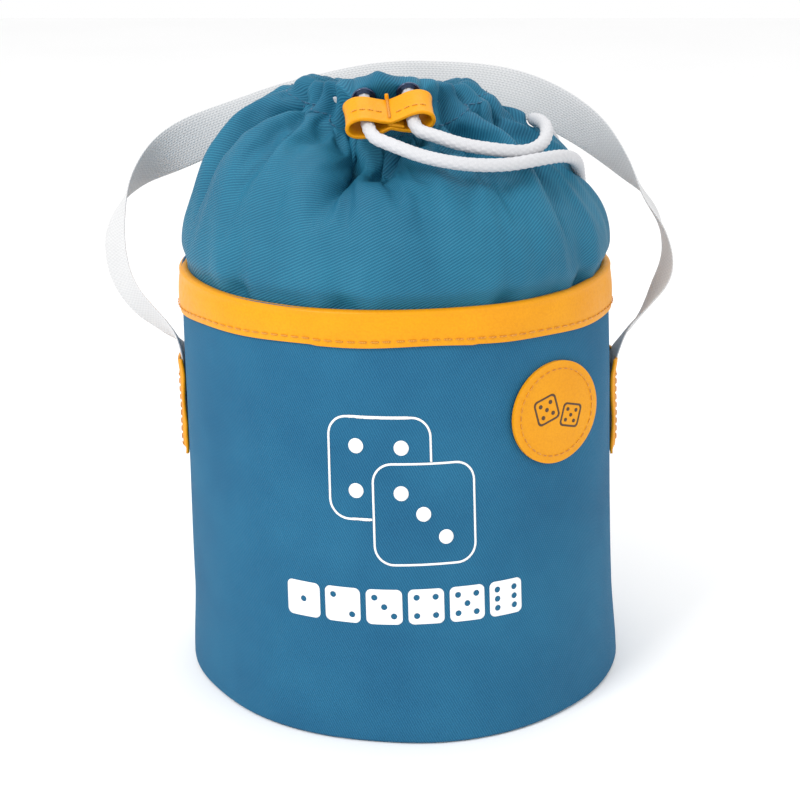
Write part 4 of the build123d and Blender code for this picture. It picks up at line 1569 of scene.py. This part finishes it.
# ---------------------------------------------------------------- round patch
PATCH_TURN = math.radians(43.2)
PATCH_HEIGHT = 133.8
PATCH_RADIUS = 21.6
PATCH_SHAPE = (1.05, 0.975)  # its outline across and up, as it lies
PATCH_LIFT = 1.2            # the stiff disc's sides stand off the round wall
patch_slices = 1.6
patch_flat, patch_faces = outline_mesh("patch_flat", [circle(0, 0, PATCH_RADIUS, 120)], patch_slices)
patch_radius = float(wall_radius(PATCH_HEIGHT))


def patch_points(flat, out):
    stand = out + PATCH_LIFT * (flat[:, 0] / PATCH_RADIUS) ** 2
    flat = flat * PATCH_SHAPE
    return wall_point(PATCH_TURN + flat[:, 0] / patch_radius, PATCH_HEIGHT + flat[:, 1], stand)


patch_piece = new_mesh("round_patch", patch_points(patch_flat, 1.4), patch_faces, None)
thicken(patch_piece, 1.4, even=False)
patch_edge = patch_piece.modifiers.new("edges", "BEVEL")
patch_edge.width = 0.4 * MM
patch_edge.segments = 2
patch_edge.limit_method = "ANGLE"
patch_edge.angle_limit = math.radians(50)
apply_modifiers(patch_piece)
finish_piece(patch_piece, "bag", yellow_pu, "yellow_leather", "side_patch")
ring_turn = np.linspace(0, 2 * math.pi, 240)
ring_flat = np.stack([np.sin(ring_turn), np.cos(ring_turn)], axis=1) * (PATCH_RADIUS - 3.2)
ring_out = np.stack(
    [
        np.sin(PATCH_TURN + ring_flat[:, 0] / patch_radius),
        -np.cos(PATCH_TURN + ring_flat[:, 0] / patch_radius),
        np.zeros(len(ring_flat)),
    ],
    axis=1,
)
patch_ring = patch_points(ring_flat, 1.42)
stitch_row("patch_seam", patch_ring, ring_out, 3.3, 2.3, 0.5, "bag", yellow_thread, sink=0.04)


def tumbling_die(centre, half, tilt):
    """Outlines of a small tilted die: its border and its pips."""
    outline = rounded_square(0, 0, half, half * 0.35, 8)
    inner = rounded_square(0, 0, half - 0.8, half * 0.35 - 0.4, 8)
    spots = [circle(sx * half * 0.45, sy * half * 0.45, half * 0.16, 20) for sx, sy in PIP_SPOTS[5]]
    c, s = math.cos(tilt), math.sin(tilt)
    turn = np.array([[c, -s], [s, c]])
    return [part @ turn.T + centre for part in (outline, inner, *spots)]


motif = tumbling_die(np.array([-5.6, 2.2]), 5.6, math.radians(14)) + tumbling_die(
    np.array([6.6, -2.6]), 5.0, math.radians(-18)
)
motif_flat, motif_faces = outline_mesh("motif_flat", motif, 1.6)
motif_piece = new_mesh("patch_motif", patch_points(motif_flat, 1.5), motif_faces, None)
finish_piece(thicken(motif_piece, 0.12, even=False), "bag", motif_ink, "motif_ink")

# ---------------------------------------------------------------- kept CAD nodes
for word in ("left", "right"):
    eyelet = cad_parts[f"eyelet_{word}"]
    eyelet.data.materials.clear()
    eyelet.data.materials.append(enamel)

DIE = 70.0
PIP_DEPTH = 1.0
for number in range(1, 7):
    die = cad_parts[f"die_{number}"]
    shift = tuple(dice_random.uniform(0.1, 2.0, 3))
    die.data.materials.clear()
    die.data.materials.append(sanded_wood(f"die_wood_{number}", shift))
    die.data.materials.append(pip_black)
    low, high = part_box(f"die_{number}")
    middle = (low + high) / 2
    floor_gap = (DIE / 2 - PIP_DEPTH) * MM
    for polygon in die.data.polygons:
        offset = polygon.center - middle
        axis = max(range(3), key=lambda k: abs(polygon.normal[k]))
        facing = abs(polygon.normal[axis]) > 0.99
        on_floor = abs(abs(offset[axis]) - floor_gap) < 0.05 * MM
        if facing and on_floor:
            polygon.material_index = 1
